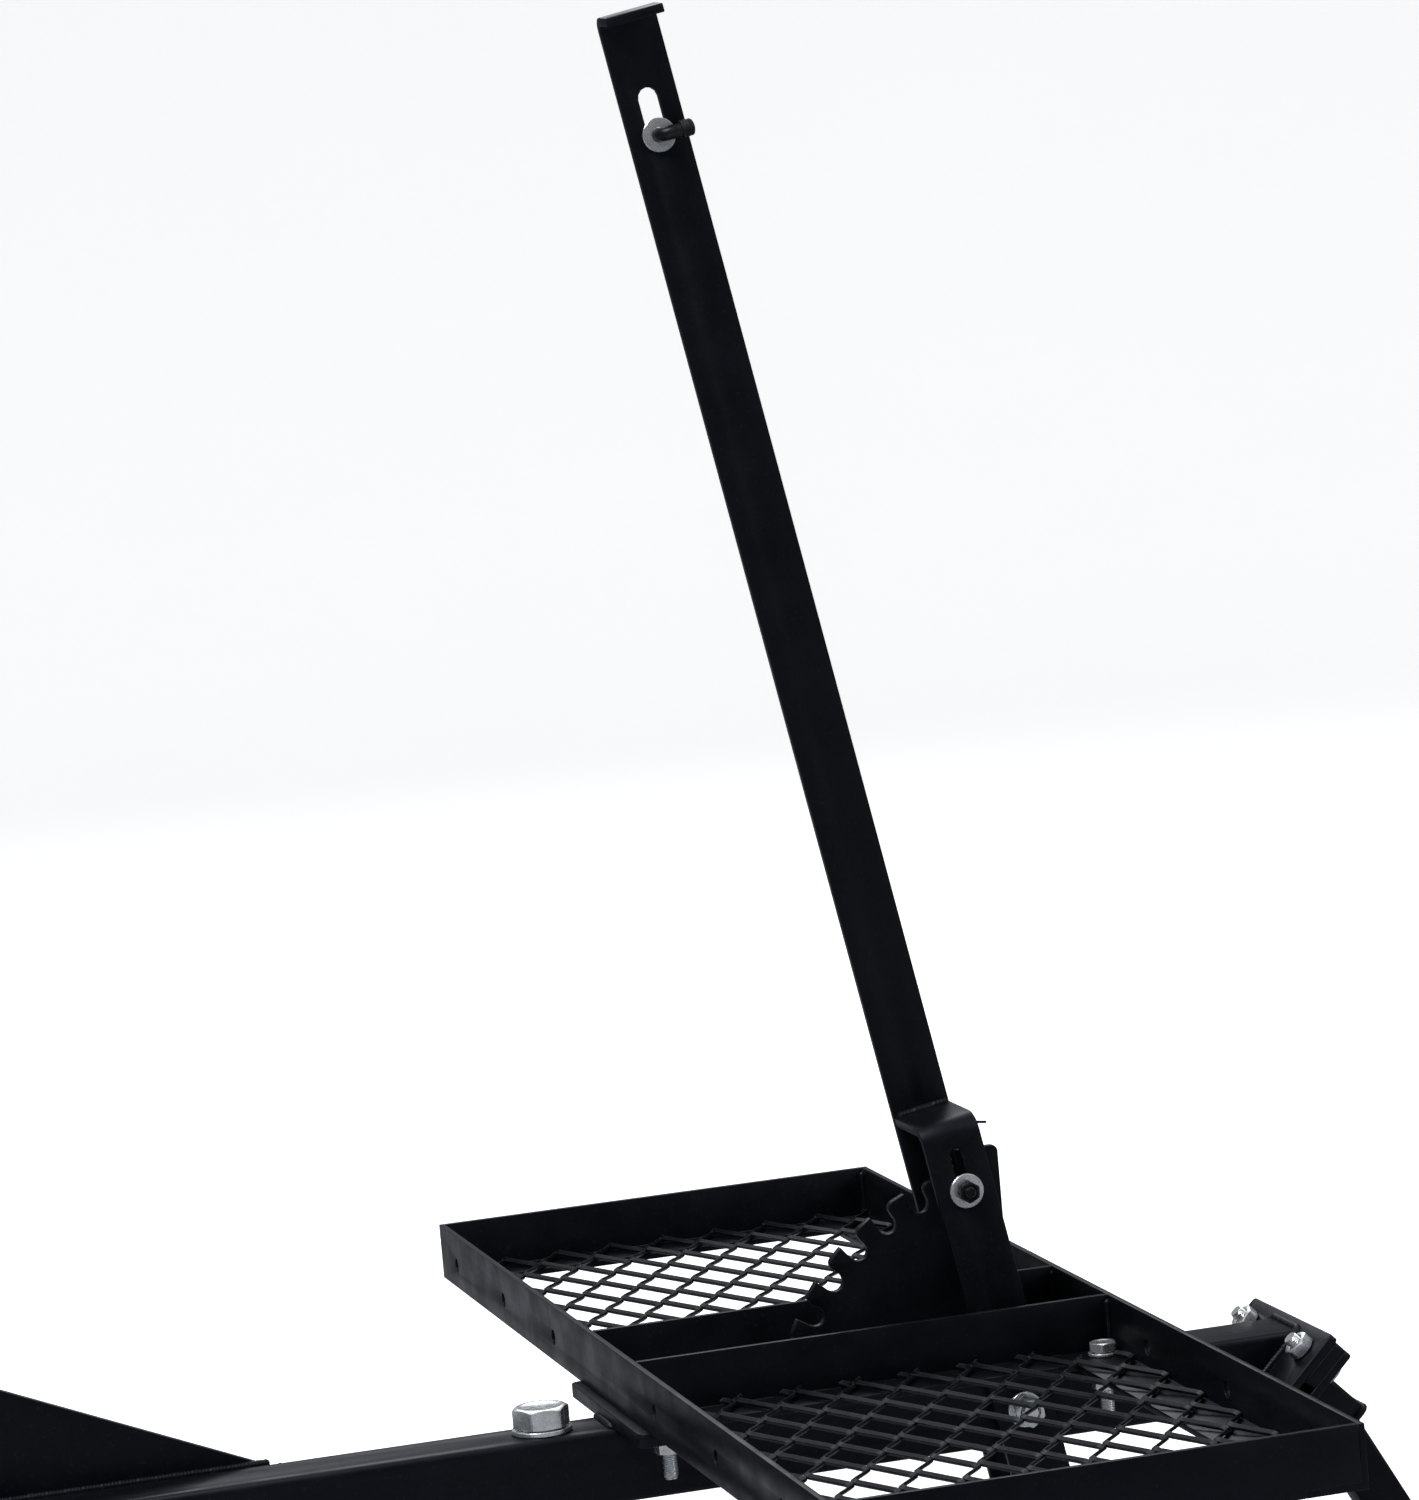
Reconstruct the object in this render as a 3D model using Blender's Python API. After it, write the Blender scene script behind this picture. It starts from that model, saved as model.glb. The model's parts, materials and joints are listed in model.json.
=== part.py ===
"""Hitch-mounted cargo carrier: a two-bay expanded-metal tray on a square tube, with a latching stand lever.

Units are metres, +Z is up, +X runs from the vehicle to the rear, +Y is across the vehicle.
The origin is the centre of the hitch pin hole in the shank.
"""
import math

import bmesh
import bpy
from mathutils import Matrix, Vector

MM = 0.001
GAP = 0.3 * MM                    # clearance kept between pieces that touch

# square tubes
TUBE = 50 * MM
TUBE_WALL = 3 * MM
TUBE_CORNER = 5 * MM

# hitch end
SHANK_LENGTH = 270 * MM
PIN_FROM_END = 65 * MM
PIN_RADIUS = 8 * MM
RISE = 110 * MM                   # shank axis above the main tube's axis
TUBE_START = -640 * MM            # where the main tube meets the riser, from the tray's centre
GUSSET_THICK = 6 * MM
GUSSET_LENGTH = 288 * MM          # reach of the gusset along the tube
GUSSET_HEIGHT = 126 * MM
TONGUE_BOLT_X = -215.5 * MM

# tray, centred over the main tube
TRAY_WIDTH = 332 * MM
TRAY_LENGTH = 1024 * MM
ANGLE_LEG = 40 * MM
ANGLE_THICK = 4 * MM
CHANNEL_HALF = 55.6 * MM          # from the centre to the channel side of a divider
WALL_HOLE_RADIUS = 5.3 * MM
WALL_HOLE_PITCH = 150 * MM
WALL_HOLE_RISE = 17.5 * MM        # above the angle's foot
MESH_THICK = 2.5 * MM
MESH_SHORT_WAY = 40.5 * MM
MESH_LONG_WAY = 67 * MM
MESH_STRAND = 3 * MM
MESH_BOND_Y = 238 * MM            # one row of bonds, from the centre of the tray

# mount plates under the tray
MOUNT_THICK = 9.4 * MM
MOUNT_WIDTH = 43 * MM
MOUNT_LENGTH = 187 * MM
MOUNT_X = 151.5 * MM
MOUNT_BOLT_X = 150 * MM
MOUNT_BOLT_Y = 77 * MM

# lever and latch; heights along the lever are measured from its pivot
PIVOT_X = 106.8 * MM
LEVER_TILT = math.radians(10.4)
LEVER_BAR = 40 * MM
LEVER_THICK = 6 * MM
FORK_HALF_GAP = 26 * MM
LEVER_TOP = 961.5 * MM
TOP_TAB = 22 * MM
TAB_DROOP = 4                     # degrees past square
WEB_HEIGHT = 203 * MM
LATCH_HEIGHT = 154.6 * MM
LATCH_TRAVEL = 25 * MM
GRIP_HEIGHT = 877.6 * MM
GRIP_REACH = 18.6 * MM
LIFT_ROD = 4.75 * MM              # radius
ROD_GUIDE_HEIGHT = 560 * MM
GRIP_SLOT_HALF = 7 * MM
LATCH_SLOT_HALF = 4.5 * MM
PIN12 = 6 * MM                    # radius of the 12 mm pins
FOOT_REACH = 165 * MM
FOOT_RADIUS = 15 * MM
FOOT_HALF_LENGTH = 54 * MM
NOTCH_STEP = math.radians(9.9)
NOTCH_COUNT = 7
NOTCH_HALF = 6.5 * MM
NOTCH_FLOOR = 151 * MM             # centre of a notch's round end, below the latch bolt
TOOTH_RADIUS = 162 * MM
TOOTH_ROUND = 5 * MM
QUADRANT_THICK = 6 * MM
QUADRANT_TOP = 149.5 * MM

# rear bracket, leaning on the mitred end of the main tube
REAR_LEAN = math.radians(46)
REAR_EDGE_X = 312 * MM
REAR_EDGE_Z = 4.4 * MM
REAR_PLATE_HALF = 74 * MM
REAR_PLATE_HEIGHT = 78 * MM
REAR_PLATE_THICK = 6 * MM
REAR_SPACER_THICK = 8.4 * MM
REAR_BOLT_Y = 52 * MM
REAR_BOLT_DROP = 18 * MM
STUB_SIZE = 40 * MM
STUB_TOP = 17 * MM                # below the plate's top edge
STUB_END = 75 * MM
LEG_SIZE = 30 * MM
LEG_TOP = 24 * MM                 # below the plate's top edge, where the leg leaves the stub
LEG_TURN = math.radians(15.5)     # how much steeper the leg is than the stub
LEG_LENGTH = 148 * MM

# metric fasteners: shank radius, width across flats, head height, nut height
M8 = (4 * MM, 13 * MM, 5.3 * MM, 6.5 * MM)
M10 = (5 * MM, 17 * MM, 6.5 * MM, 8.4 * MM)
M12 = (6 * MM, 19 * MM, 7.5 * MM, 9.5 * MM)
M22 = (11 * MM, 34 * MM, 14 * MM, 18 * MM)

HALF = TUBE / 2
SHANK_Z = RISE - HALF
TRAY_X = SHANK_LENGTH - PIN_FROM_END + TUBE + 2 * GAP - TUBE_START
TRAY_BASE = MOUNT_THICK + 2 * GAP
FLANGE_TOP = TRAY_BASE + ANGLE_THICK
TRAY_TOP = TRAY_BASE + ANGLE_LEG


# ---------------------------------------------------------------- materials

def make_material(name, color, roughness, metallic):
    material = bpy.data.materials.new(name)
    material.use_nodes = True
    shader = material.node_tree.nodes["Principled BSDF"]
    shader.inputs["Base Color"].default_value = (*color, 1)
    shader.inputs["Roughness"].default_value = roughness
    shader.inputs["Metallic"].default_value = metallic
    return material


FINISHES = {
    "powder_coat": ((0.012, 0.012, 0.014), 0.42, 0.0),
    "zinc": ((0.62, 0.62, 0.60), 0.3, 1.0),
    "black_steel": ((0.02, 0.02, 0.022), 0.35, 0.6),
    "vinyl": ((0.01, 0.01, 0.011), 0.55, 0.0),
}


# ------------------------------------------------------------------ outlines

def arc(center, radius, start, end, steps):
    """Points on an arc, in degrees, both ends included."""
    angles = [math.radians(start + (end - start) * i / steps) for i in range(steps + 1)]
    return [(center[0] + radius * math.cos(a), center[1] + radius * math.sin(a)) for a in angles]


def circle(center, radius, steps=16):
    return arc(center, radius, 0, 360, steps)[:-1]


def rounded_box(width, height, radius, steps=3):
    x = width / 2 - radius
    y = height / 2 - radius
    points = []
    for cx, cy, start in ((x, y, 0), (-x, y, 90), (-x, -y, 180), (x, -y, 270)):
        points += arc((cx, cy), radius, start, start + 90, steps)
    return points


def slot(low, high, half, steps=6):
    """An upright round-ended slot between two centre heights."""
    return arc((0, high), half, 0, 180, steps) + arc((0, low), half, 180, 360, steps)


# -------------------------------------------------------------------- solids

PLANES = {
    # the axes that an outline's first axis, second axis and thickness run along
    "XY": Matrix(((1, 0, 0, 0), (0, 1, 0, 0), (0, 0, 1, 0), (0, 0, 0, 1))),
    "XZ": Matrix(((1, 0, 0, 0), (0, 0, 1, 0), (0, 1, 0, 0), (0, 0, 0, 1))),
    "YZ": Matrix(((0, 0, 1, 0), (1, 0, 0, 0), (0, 1, 0, 0), (0, 0, 0, 1))),
}


def extrude(loops, low, high, plane="XY"):
    """A mesh from an outline and its holes, extruded from low to high."""
    bm = bmesh.new()
    edges = []
    for loop in loops:
        verts = [bm.verts.new((x, y, low)) for x, y in loop]
        for i, vert in enumerate(verts):
            edges.append(bm.edges.new((vert, verts[(i + 1) % len(verts)])))
    bmesh.ops.triangle_fill(bm, use_beauty=True, edges=edges)
    made = bmesh.ops.extrude_face_region(bm, geom=bm.faces[:])
    top = [item for item in made["geom"] if isinstance(item, bmesh.types.BMVert)]
    bmesh.ops.translate(bm, verts=top, vec=(0, 0, high - low))
    bmesh.ops.transform(bm, matrix=PLANES[plane], verts=bm.verts)
    bmesh.ops.recalc_face_normals(bm, faces=bm.faces)
    return bm


def box(low, high):
    bm = bmesh.new()
    size = Vector(high) - Vector(low)
    middle = (Vector(high) + Vector(low)) / 2
    bmesh.ops.create_cube(bm, size=1, matrix=Matrix.Translation(middle) @ Matrix.Diagonal((*size, 1)))
    return bm


def ring_points(radius, height, hexagon, sides):
    """One ring of a turned or six-sided piece; for a hexagon, radius is half the distance across flats."""
    points = []
    for i in range(sides):
        angle = 2 * math.pi * i / sides
        reach = radius
        if hexagon:
            reach = radius / math.cos((angle + math.pi / 6) % (math.pi / 3) - math.pi / 6)
        points.append((reach * math.cos(angle), reach * math.sin(angle), height))
    return points


def loft(rings, hollow=False, sides=12):
    """Join rings of (radius, height, hexagon) from one end to the other, or round and back if hollow."""
    bm = bmesh.new()
    rows = [[bm.verts.new(p) for p in ring_points(*ring, sides)] for ring in rings]
    pairs = list(zip(rows, rows[1:]))
    if hollow:
        pairs.append((rows[-1], rows[0]))
    for lower, upper in pairs:
        for i in range(sides):
            j = (i + 1) % sides
            bm.faces.new((lower[i], lower[j], upper[j], upper[i]))
    if not hollow:
        bm.faces.new(rows[0])
        bm.faces.new(rows[-1])
    bmesh.ops.recalc_face_normals(bm, faces=bm.faces)
    return bm


def bolt(shank, length, across, head):
    """A hex bolt along Z: its head sits on z = 0 and its shank runs down."""
    tip = 1.2 * MM
    half = across / 2
    return loft([(shank - tip, -length, False), (shank, -length + tip, False), (shank, 0, False),
                 (half, 0, True), (half, head - tip, True), (half * 0.94, head, False)])


def nut(hole, across, height):
    half = across / 2
    edge = 0.8 * MM
    return loft([(half * 0.96, 0, False), (half, edge, True), (half, height - edge, True),
                 (half * 0.96, height, False), (hole, height, False), (hole, 0, False)], hollow=True)


def washer(hole, outer, height, sides=20):
    return loft([(outer, 0, False), (outer, height, False), (hole, height, False), (hole, 0, False)],
                hollow=True, sides=sides)


def merged(parts):
    """Join meshes, each moved by its own matrix, as separate bodies of one mesh."""
    total = bmesh.new()
    for bm, matrix in parts:
        bmesh.ops.transform(bm, matrix=matrix, verts=bm.verts)
        mesh = bpy.data.meshes.new("part")
        bm.to_mesh(mesh)
        bm.free()
        total.from_mesh(mesh)
        bpy.data.meshes.remove(mesh)
    return total


def at(x, y, z, turn=None):
    move = Matrix.Translation((x, y, z))
    return move @ turn if turn else move


ALONG_Y = Matrix.Rotation(math.radians(-90), 4, "X")      # a piece's +Z turned to +Y
ALONG_MINUS_Y = Matrix.Rotation(math.radians(90), 4, "X")
ALONG_X = Matrix.Rotation(math.radians(90), 4, "Y")


def add(name, bm, finish, parent):
    """Turn a mesh into a named object with its own material."""
    mesh = bpy.data.meshes.new(name)
    bm.to_mesh(mesh)
    bm.free()
    obj = bpy.data.objects.new(name, mesh)
    bpy.context.scene.collection.objects.link(obj)
    obj.parent = parent
    mesh.materials.append(make_material(f"{name}_{finish}", *FINISHES[finish]))
    mesh.shade_smooth()
    mesh.set_sharp_from_angle(angle=math.radians(30))
    return obj


def boolean(obj, bm, operation):
    """Cut a mesh out of an object, or join it on, and hide the tool."""
    mesh = bpy.data.meshes.new(f"{obj.name}_tool")
    bm.to_mesh(mesh)
    bm.free()
    tool = bpy.data.objects.new(f"{obj.name}_tool", mesh)
    bpy.context.scene.collection.objects.link(tool)
    tool.parent = obj.parent
    tool.hide_render = True
    tool.display_type = "WIRE"
    modifier = obj.modifiers.new(operation.lower(), "BOOLEAN")
    modifier.operation = operation
    modifier.object = tool
    modifier.solver = "EXACT"


def rods(centers, radius, reach, turn=None, sides=16):
    """Round cutters, one at each centre, reaching both ways along their axis."""
    cutters = []
    for center in centers:
        cylinder = extrude([circle((0, 0), radius, sides)], -reach, reach)
        cutters.append((cylinder, at(*center, turn)))
    return merged(cutters)


def empty(name, location, turn_y, parent):
    obj = bpy.data.objects.new(name, None)
    bpy.context.scene.collection.objects.link(obj)
    obj.location = location
    obj.rotation_euler = (0, turn_y, 0)
    obj.parent = parent
    return obj


def square_tube(low, high, plane):
    inner = TUBE - 2 * TUBE_WALL
    loops = [rounded_box(TUBE, TUBE, TUBE_CORNER), rounded_box(inner, inner, TUBE_CORNER - TUBE_WALL)]
    return extrude(loops, low, high, plane)


# ---------------------------------------------------------------- hitch end

def make_hitch(carrier):
    riser_x = TUBE_START - HALF - GAP
    shank_end = TUBE_START - TUBE - 2 * GAP
    pin_x = shank_end - SHANK_LENGTH + PIN_FROM_END

    shank = square_tube(shank_end - SHANK_LENGTH, shank_end, "YZ")
    shank = add("hitch_shank", merged([(shank, at(0, 0, SHANK_Z))]), "powder_coat", carrier)
    boolean(shank, rods([(pin_x, 0, SHANK_Z)], PIN_RADIUS + GAP, TUBE, ALONG_Y), "DIFFERENCE")

    riser = square_tube(-TUBE, SHANK_Z + HALF, "XY")
    add("hitch_riser", merged([(riser, at(riser_x, 0, 0))]), "powder_coat", carrier)

    low = -20 * MM
    high = low + GUSSET_HEIGHT
    outline = [(TUBE_START + GUSSET_LENGTH, low), (TUBE_START, high), (TUBE_START - TUBE, high),
               (TUBE_START - TUBE, low)]
    side = HALF + GAP
    add("riser_gusset", extrude([outline], side, side + GUSSET_THICK, "XZ"), "powder_coat", carrier)

    flange = PIN_RADIUS + 5 * MM
    pin = loft([(PIN_RADIUS - 3 * MM, -76 * MM, False), (PIN_RADIUS, -70 * MM, False),
                (PIN_RADIUS, -2 * MM, False), (flange, 0, False), (flange, 5 * MM, False),
                (flange - 2 * MM, 7 * MM, False)], sides=16)
    pin_side = HALF + 3 * MM
    pin = merged([(pin, at(pin_x, -pin_side, SHANK_Z, ALONG_MINUS_Y))])
    pin = add("hitch_pin", pin, "zinc", carrier)
    clip_hole = (pin_x, pin_side + 8 * MM, SHANK_Z)
    boolean(pin, rods([clip_hole], 2 * MM, 2 * TUBE, sides=8), "DIFFERENCE")
    make_hitch_clip(carrier, clip_hole)


def make_hitch_clip(carrier, hole):
    """A wire clip: its straight leg runs through the pin, and its bowed leg goes round the pin's outside."""
    wire = 1.5 * MM
    x, y, z = hole
    reach = 22 * MM
    bend = 7 * MM
    bow = PIN_RADIUS + 10.5 * MM
    points = [(x, y, z - 16 * MM), (x, y, z + reach)]
    for i in range(1, 8):
        turn = math.pi * i / 8
        points.append((x, y + bend * (1 - math.cos(turn)), z + reach + bend * math.sin(turn)))
    points.append((x, y + 2 * bend, z + reach))
    points.append((x, y + bow - 3 * MM, z + 10 * MM))
    points.append((x, y + bow, z))
    points.append((x, y + bow - 3 * MM, z - 10 * MM))
    points.append((x, y + bow, z - 18 * MM))
    add_wire("hitch_clip", points, wire, "zinc", carrier)


def add_wire(name, points, radius, finish, parent, resolution=1):
    """A round bar or wire bent through the points, with flat ends."""
    curve = bpy.data.curves.new(name, "CURVE")
    curve.dimensions = "3D"
    curve.bevel_depth = radius
    curve.bevel_resolution = resolution
    curve.use_fill_caps = True
    spline = curve.splines.new("POLY")
    spline.points.add(len(points) - 1)
    for target, point in zip(spline.points, points):
        target.co = (*point, 1)
    curve.materials.append(make_material(f"{name}_{finish}", *FINISHES[finish]))
    obj = bpy.data.objects.new(name, curve)
    bpy.context.scene.collection.objects.link(obj)
    obj.parent = parent
    return obj


# ---------------------------------------------------------------- main tube

def make_main_tube(carrier):
    tube = square_tube(TUBE_START, REAR_EDGE_X, "YZ")
    bmesh.ops.translate(tube, verts=tube.verts, vec=(0, 0, -HALF))
    # the rear end is mitred to the end plate's lean
    for vert in tube.verts:
        if vert.co.x > 0:
            drop = REAR_EDGE_Z - vert.co.z
            vert.co.x = REAR_EDGE_X - GAP / math.cos(REAR_LEAN) - drop * math.tan(REAR_LEAN)
    tube = add("main_tube", tube, "powder_coat", carrier)
    shank, across, head, nut_high = M22
    hole = shank + GAP
    boolean(tube, rods([(PIVOT_X, 0, -HALF)], PIN12 + GAP, TUBE, ALONG_Y), "DIFFERENCE")
    boolean(tube, rods([(TONGUE_BOLT_X, 0, -HALF)], hole, TUBE), "DIFFERENCE")

    # the large bolt that stands on the tube
    thick = 3 * MM
    ring = washer(hole, 20 * MM, thick, 24)
    add("tongue_washer", merged([(ring, at(TONGUE_BOLT_X, 0, GAP))]), "zinc", carrier)
    seat = thick + 2 * GAP
    nut_top = -TUBE - GAP
    long = bolt(shank, seat - nut_top + nut_high + 4 * MM, across, head)
    add("tongue_bolt", merged([(long, at(TONGUE_BOLT_X, 0, seat))]), "zinc", carrier)
    end = nut(hole, across, nut_high)
    add("tongue_nut", merged([(end, at(TONGUE_BOLT_X, 0, nut_top - nut_high))]), "zinc", carrier)


# --------------------------------------------------------------------- tray

def make_rail(carrier, name, side):
    """A long angle of the tray frame: its upright leg is outside and its flange points to the middle."""
    half_width = TRAY_WIDTH / 2
    profile = [(half_width, TRAY_BASE), (half_width, TRAY_TOP), (half_width - ANGLE_THICK, TRAY_TOP),
               (half_width - ANGLE_THICK, FLANGE_TOP), (half_width - ANGLE_LEG, FLANGE_TOP),
               (half_width - ANGLE_LEG, TRAY_BASE)]
    outline = [(side * x, z) for x, z in profile]
    rail = extrude([outline], -TRAY_LENGTH / 2, TRAY_LENGTH / 2, "XZ")
    rail = add(name, rail, "powder_coat", carrier)
    far_hole = TRAY_LENGTH / 2 - 51 * MM
    near_hole = -112 * MM
    shift = (1 + side) * 10.5 * MM
    rows = [start - WALL_HOLE_PITCH * i - shift for start in (far_hole, near_hole) for i in range(3)]
    holes = [(side * half_width, y, TRAY_BASE + WALL_HOLE_RISE) for y in rows]
    boolean(rail, rods(holes, WALL_HOLE_RADIUS, 15 * MM, ALONG_X), "DIFFERENCE")
    bolts = [(side * MOUNT_BOLT_X, y, TRAY_BASE) for y in (-MOUNT_BOLT_Y, MOUNT_BOLT_Y)]
    boolean(rail, rods(bolts, M10[0] + GAP, 10 * MM, sides=12), "DIFFERENCE")


def make_cross_angle(carrier, name, face, bay):
    """An angle across the tray, coped over the rails' flanges. Its flange points along bay from its face."""
    reach = TRAY_WIDTH / 2 - ANGLE_THICK - GAP
    cope = TRAY_WIDTH / 2 - ANGLE_LEG - GAP
    shoulder = FLANGE_TOP + GAP
    outline = [(-reach, shoulder), (-cope, shoulder), (-cope, TRAY_BASE), (cope, TRAY_BASE),
               (cope, shoulder), (reach, shoulder), (reach, TRAY_TOP), (-reach, TRAY_TOP)]
    upright = sorted((face, face + bay * ANGLE_THICK))
    angle = add(name, extrude([outline], *upright, "XZ"), "powder_coat", carrier)
    flange = sorted((face + bay * MM, face + bay * ANGLE_LEG))
    boolean(angle, box((-cope, flange[0], TRAY_BASE), (cope, flange[1], FLANGE_TOP)), "UNION")


def clip(points, limit_x, limit_y):
    """A convex outline cut to a centred rectangle."""
    for axis, limit in ((0, limit_x), (1, limit_y)):
        for sign in (1, -1):
            kept = []
            for i, here in enumerate(points):
                after = points[(i + 1) % len(points)]
                inside = sign * here[axis] <= limit
                if inside:
                    kept.append(here)
                if inside != (sign * after[axis] <= limit):
                    share = (sign * limit - here[axis]) / (after[axis] - here[axis])
                    kept.append(tuple(a + share * (b - a) for a, b in zip(here, after)))
            points = kept
    return points


def area(points):
    total = sum(a[0] * b[1] - b[0] * a[1] for a, b in zip(points, points[1:] + points[:1]))
    return abs(total) / 2


def mesh_openings(width, length, row_y):
    """The diamond openings of expanded metal, trimmed at the sheet's rim; row_y is one row of bonds."""
    slant = math.hypot(MESH_SHORT_WAY, MESH_LONG_WAY)
    dx = MESH_SHORT_WAY / 2 - MESH_STRAND / 2 * slant / MESH_LONG_WAY
    dy = MESH_LONG_WAY / 2 - MESH_STRAND / 2 * slant / MESH_SHORT_WAY
    rim = MESH_STRAND / 2
    smallest = 20 * MM * MM
    columns = int(width / MESH_SHORT_WAY) + 2
    rows = int(length / MESH_LONG_WAY) + 2
    openings = []
    for row in range(-2 * rows, 2 * rows + 1):
        for column in range(-2 * columns, 2 * columns + 1):
            if (row + column) % 2:
                continue
            cx = column * MESH_SHORT_WAY / 2
            cy = row_y + row * MESH_LONG_WAY / 2
            diamond = [(cx + dx, cy), (cx, cy + dy), (cx - dx, cy), (cx, cy - dy)]
            diamond = clip(diamond, width / 2 - rim, length / 2 - rim)
            if len(diamond) > 2 and area(diamond) > smallest:
                openings.append(diamond)
    return openings


def make_mesh_panel(carrier, name, side):
    """An expanded-metal sheet, notched at the two corners where the mount bolts stand."""
    inside = CHANNEL_HALF + ANGLE_THICK + MM
    outside = TRAY_LENGTH / 2 - ANGLE_THICK - MM
    center = (inside + outside) / 2
    x = TRAY_WIDTH / 2 - ANGLE_THICK - MM
    y = (outside - inside) / 2
    notch = 14 * MM
    notch_x = MOUNT_BOLT_X - notch
    notch_y = MOUNT_BOLT_Y + notch - center
    outline = [(x, y), (-x, y), (-x, notch_y), (-notch_x, notch_y), (-notch_x, -y),
               (notch_x, -y), (notch_x, notch_y), (x, notch_y)]
    edge = MESH_STRAND / 2
    openings = []
    for opening in mesh_openings(2 * x, 2 * y, MESH_BOND_Y - center):
        if not any(abs(px) > notch_x - edge and py < notch_y + edge for px, py in opening):
            openings.append(opening)
    low = FLANGE_TOP + GAP
    panel = extrude([outline] + openings, low, low + MESH_THICK)
    panel = merged([(panel, at(0, side * center, 0, Matrix.Scale(side, 4, (0, 1, 0))))])
    bmesh.ops.recalc_face_normals(panel, faces=panel.faces)
    add(name, panel, "powder_coat", carrier)


def make_mounts(carrier):
    """The two cross plates that carry the tray on the tube, and their four bolts."""
    shank, across, head, nut_high = M10
    hole = shank + GAP
    seat = FLANGE_TOP + GAP
    thick = 2 * MM
    head_z = seat + thick + GAP
    stud = 17 * MM
    for end, side in (("front", -1), ("rear", 1)):
        holes = [circle((side * (MOUNT_BOLT_X - MOUNT_X), y), hole) for y in (-MOUNT_BOLT_Y, MOUNT_BOLT_Y)]
        loops = [rounded_box(MOUNT_WIDTH, MOUNT_LENGTH, 6 * MM)] + holes
        plate = extrude(loops, GAP, GAP + MOUNT_THICK)
        add(f"mount_plate_{end}", merged([(plate, at(side * MOUNT_X, 0, 0))]), "powder_coat", carrier)
        for where, y in (("near", -MOUNT_BOLT_Y), ("far", MOUNT_BOLT_Y)):
            x = side * MOUNT_BOLT_X
            long = bolt(shank, head_z + nut_high + stud, across, head)
            ring = washer(hole, 10 * MM, thick)
            hexagon = nut(hole, across, nut_high)
            add(f"mount_bolt_{end}_{where}", merged([(long, at(x, y, head_z))]), "zinc", carrier)
            add(f"mount_washer_{end}_{where}", merged([(ring, at(x, y, seat))]), "zinc", carrier)
            add(f"mount_nut_{end}_{where}", merged([(hexagon, at(x, y, -nut_high))]), "zinc", carrier)


# ----------------------------------------------------------------- quadrant

def polar(radius, angle):
    """A point at an angle from upright, towards -X, about the lever's pivot."""
    return (PIVOT_X - radius * math.sin(angle), -HALF + radius * math.cos(angle))


def make_quadrant(carrier):
    """The toothed plate that stands on the tube; its notches lie on an arc round the lever's pivot."""
    right = PIVOT_X + 5.2 * MM
    corner = 4 * MM
    half_angle = NOTCH_HALF / TOOTH_RADIUS
    round_angle = (NOTCH_HALF + TOOTH_ROUND) / (TOOTH_RADIUS - TOOTH_ROUND)
    points = [(right, GAP)] + arc((right - corner, QUADRANT_TOP - corner), corner, 0, 90, 3)
    # the stop post's left side runs on from the first notch
    post = polar((QUADRANT_TOP + HALF) / math.cos(LEVER_TILT), LEVER_TILT)
    points.append((post[0] + NOTCH_HALF * math.cos(LEVER_TILT), QUADRANT_TOP))
    for i in range(NOTCH_COUNT):
        angle = LEVER_TILT + i * NOTCH_STEP
        toward = math.degrees(angle)
        if i:
            # a tooth's left corner is rounded, and its right corner is sharp
            turn = angle - round_angle
            center = polar(TOOTH_RADIUS - TOOTH_ROUND, turn)
            points += arc(center, TOOTH_ROUND, 90 + math.degrees(turn), 180 + math.degrees(turn), 4)
        points += arc(polar(NOTCH_FLOOR, angle), NOTCH_HALF, toward, toward - 180, 8)
        points.append(polar(TOOTH_RADIUS, angle + half_angle))
    end = LEVER_TILT + (NOTCH_COUNT - 1) * NOTCH_STEP + half_angle
    points.append(polar(TOOTH_RADIUS, end + math.radians(4)))
    points.append((PIVOT_X - TOOTH_RADIUS, GAP))
    half = QUADRANT_THICK / 2
    add("quadrant_plate", extrude([points], -half, half, "XZ"), "powder_coat", carrier)


# -------------------------------------------------------------------- lever

def lever_cutter():
    """The pivot hole, the latch slot and the foot tube's hole, right through both legs."""
    loops = (circle((0, 0), PIN12 + GAP),
             slot(LATCH_HEIGHT, LATCH_HEIGHT + LATCH_TRAVEL, LATCH_SLOT_HALF),
             circle((0, -FOOT_REACH), FOOT_RADIUS + GAP, 20))
    reach = 60 * MM
    return merged([(extrude([loop], -reach, reach, "XZ"), Matrix.Identity(4)) for loop in loops])


def round_ends():
    """A block round the lever's outline, whose lower end is round about the foot tube."""
    half = LEVER_BAR / 2
    outline = [(half, 2 * LEVER_TOP), (-half, 2 * LEVER_TOP)]
    outline += arc((0, -FOOT_REACH), half, 180, 360, 10)
    return extrude([outline], -2 * FORK_HALF_GAP, 2 * FORK_HALF_GAP, "XZ")


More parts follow.
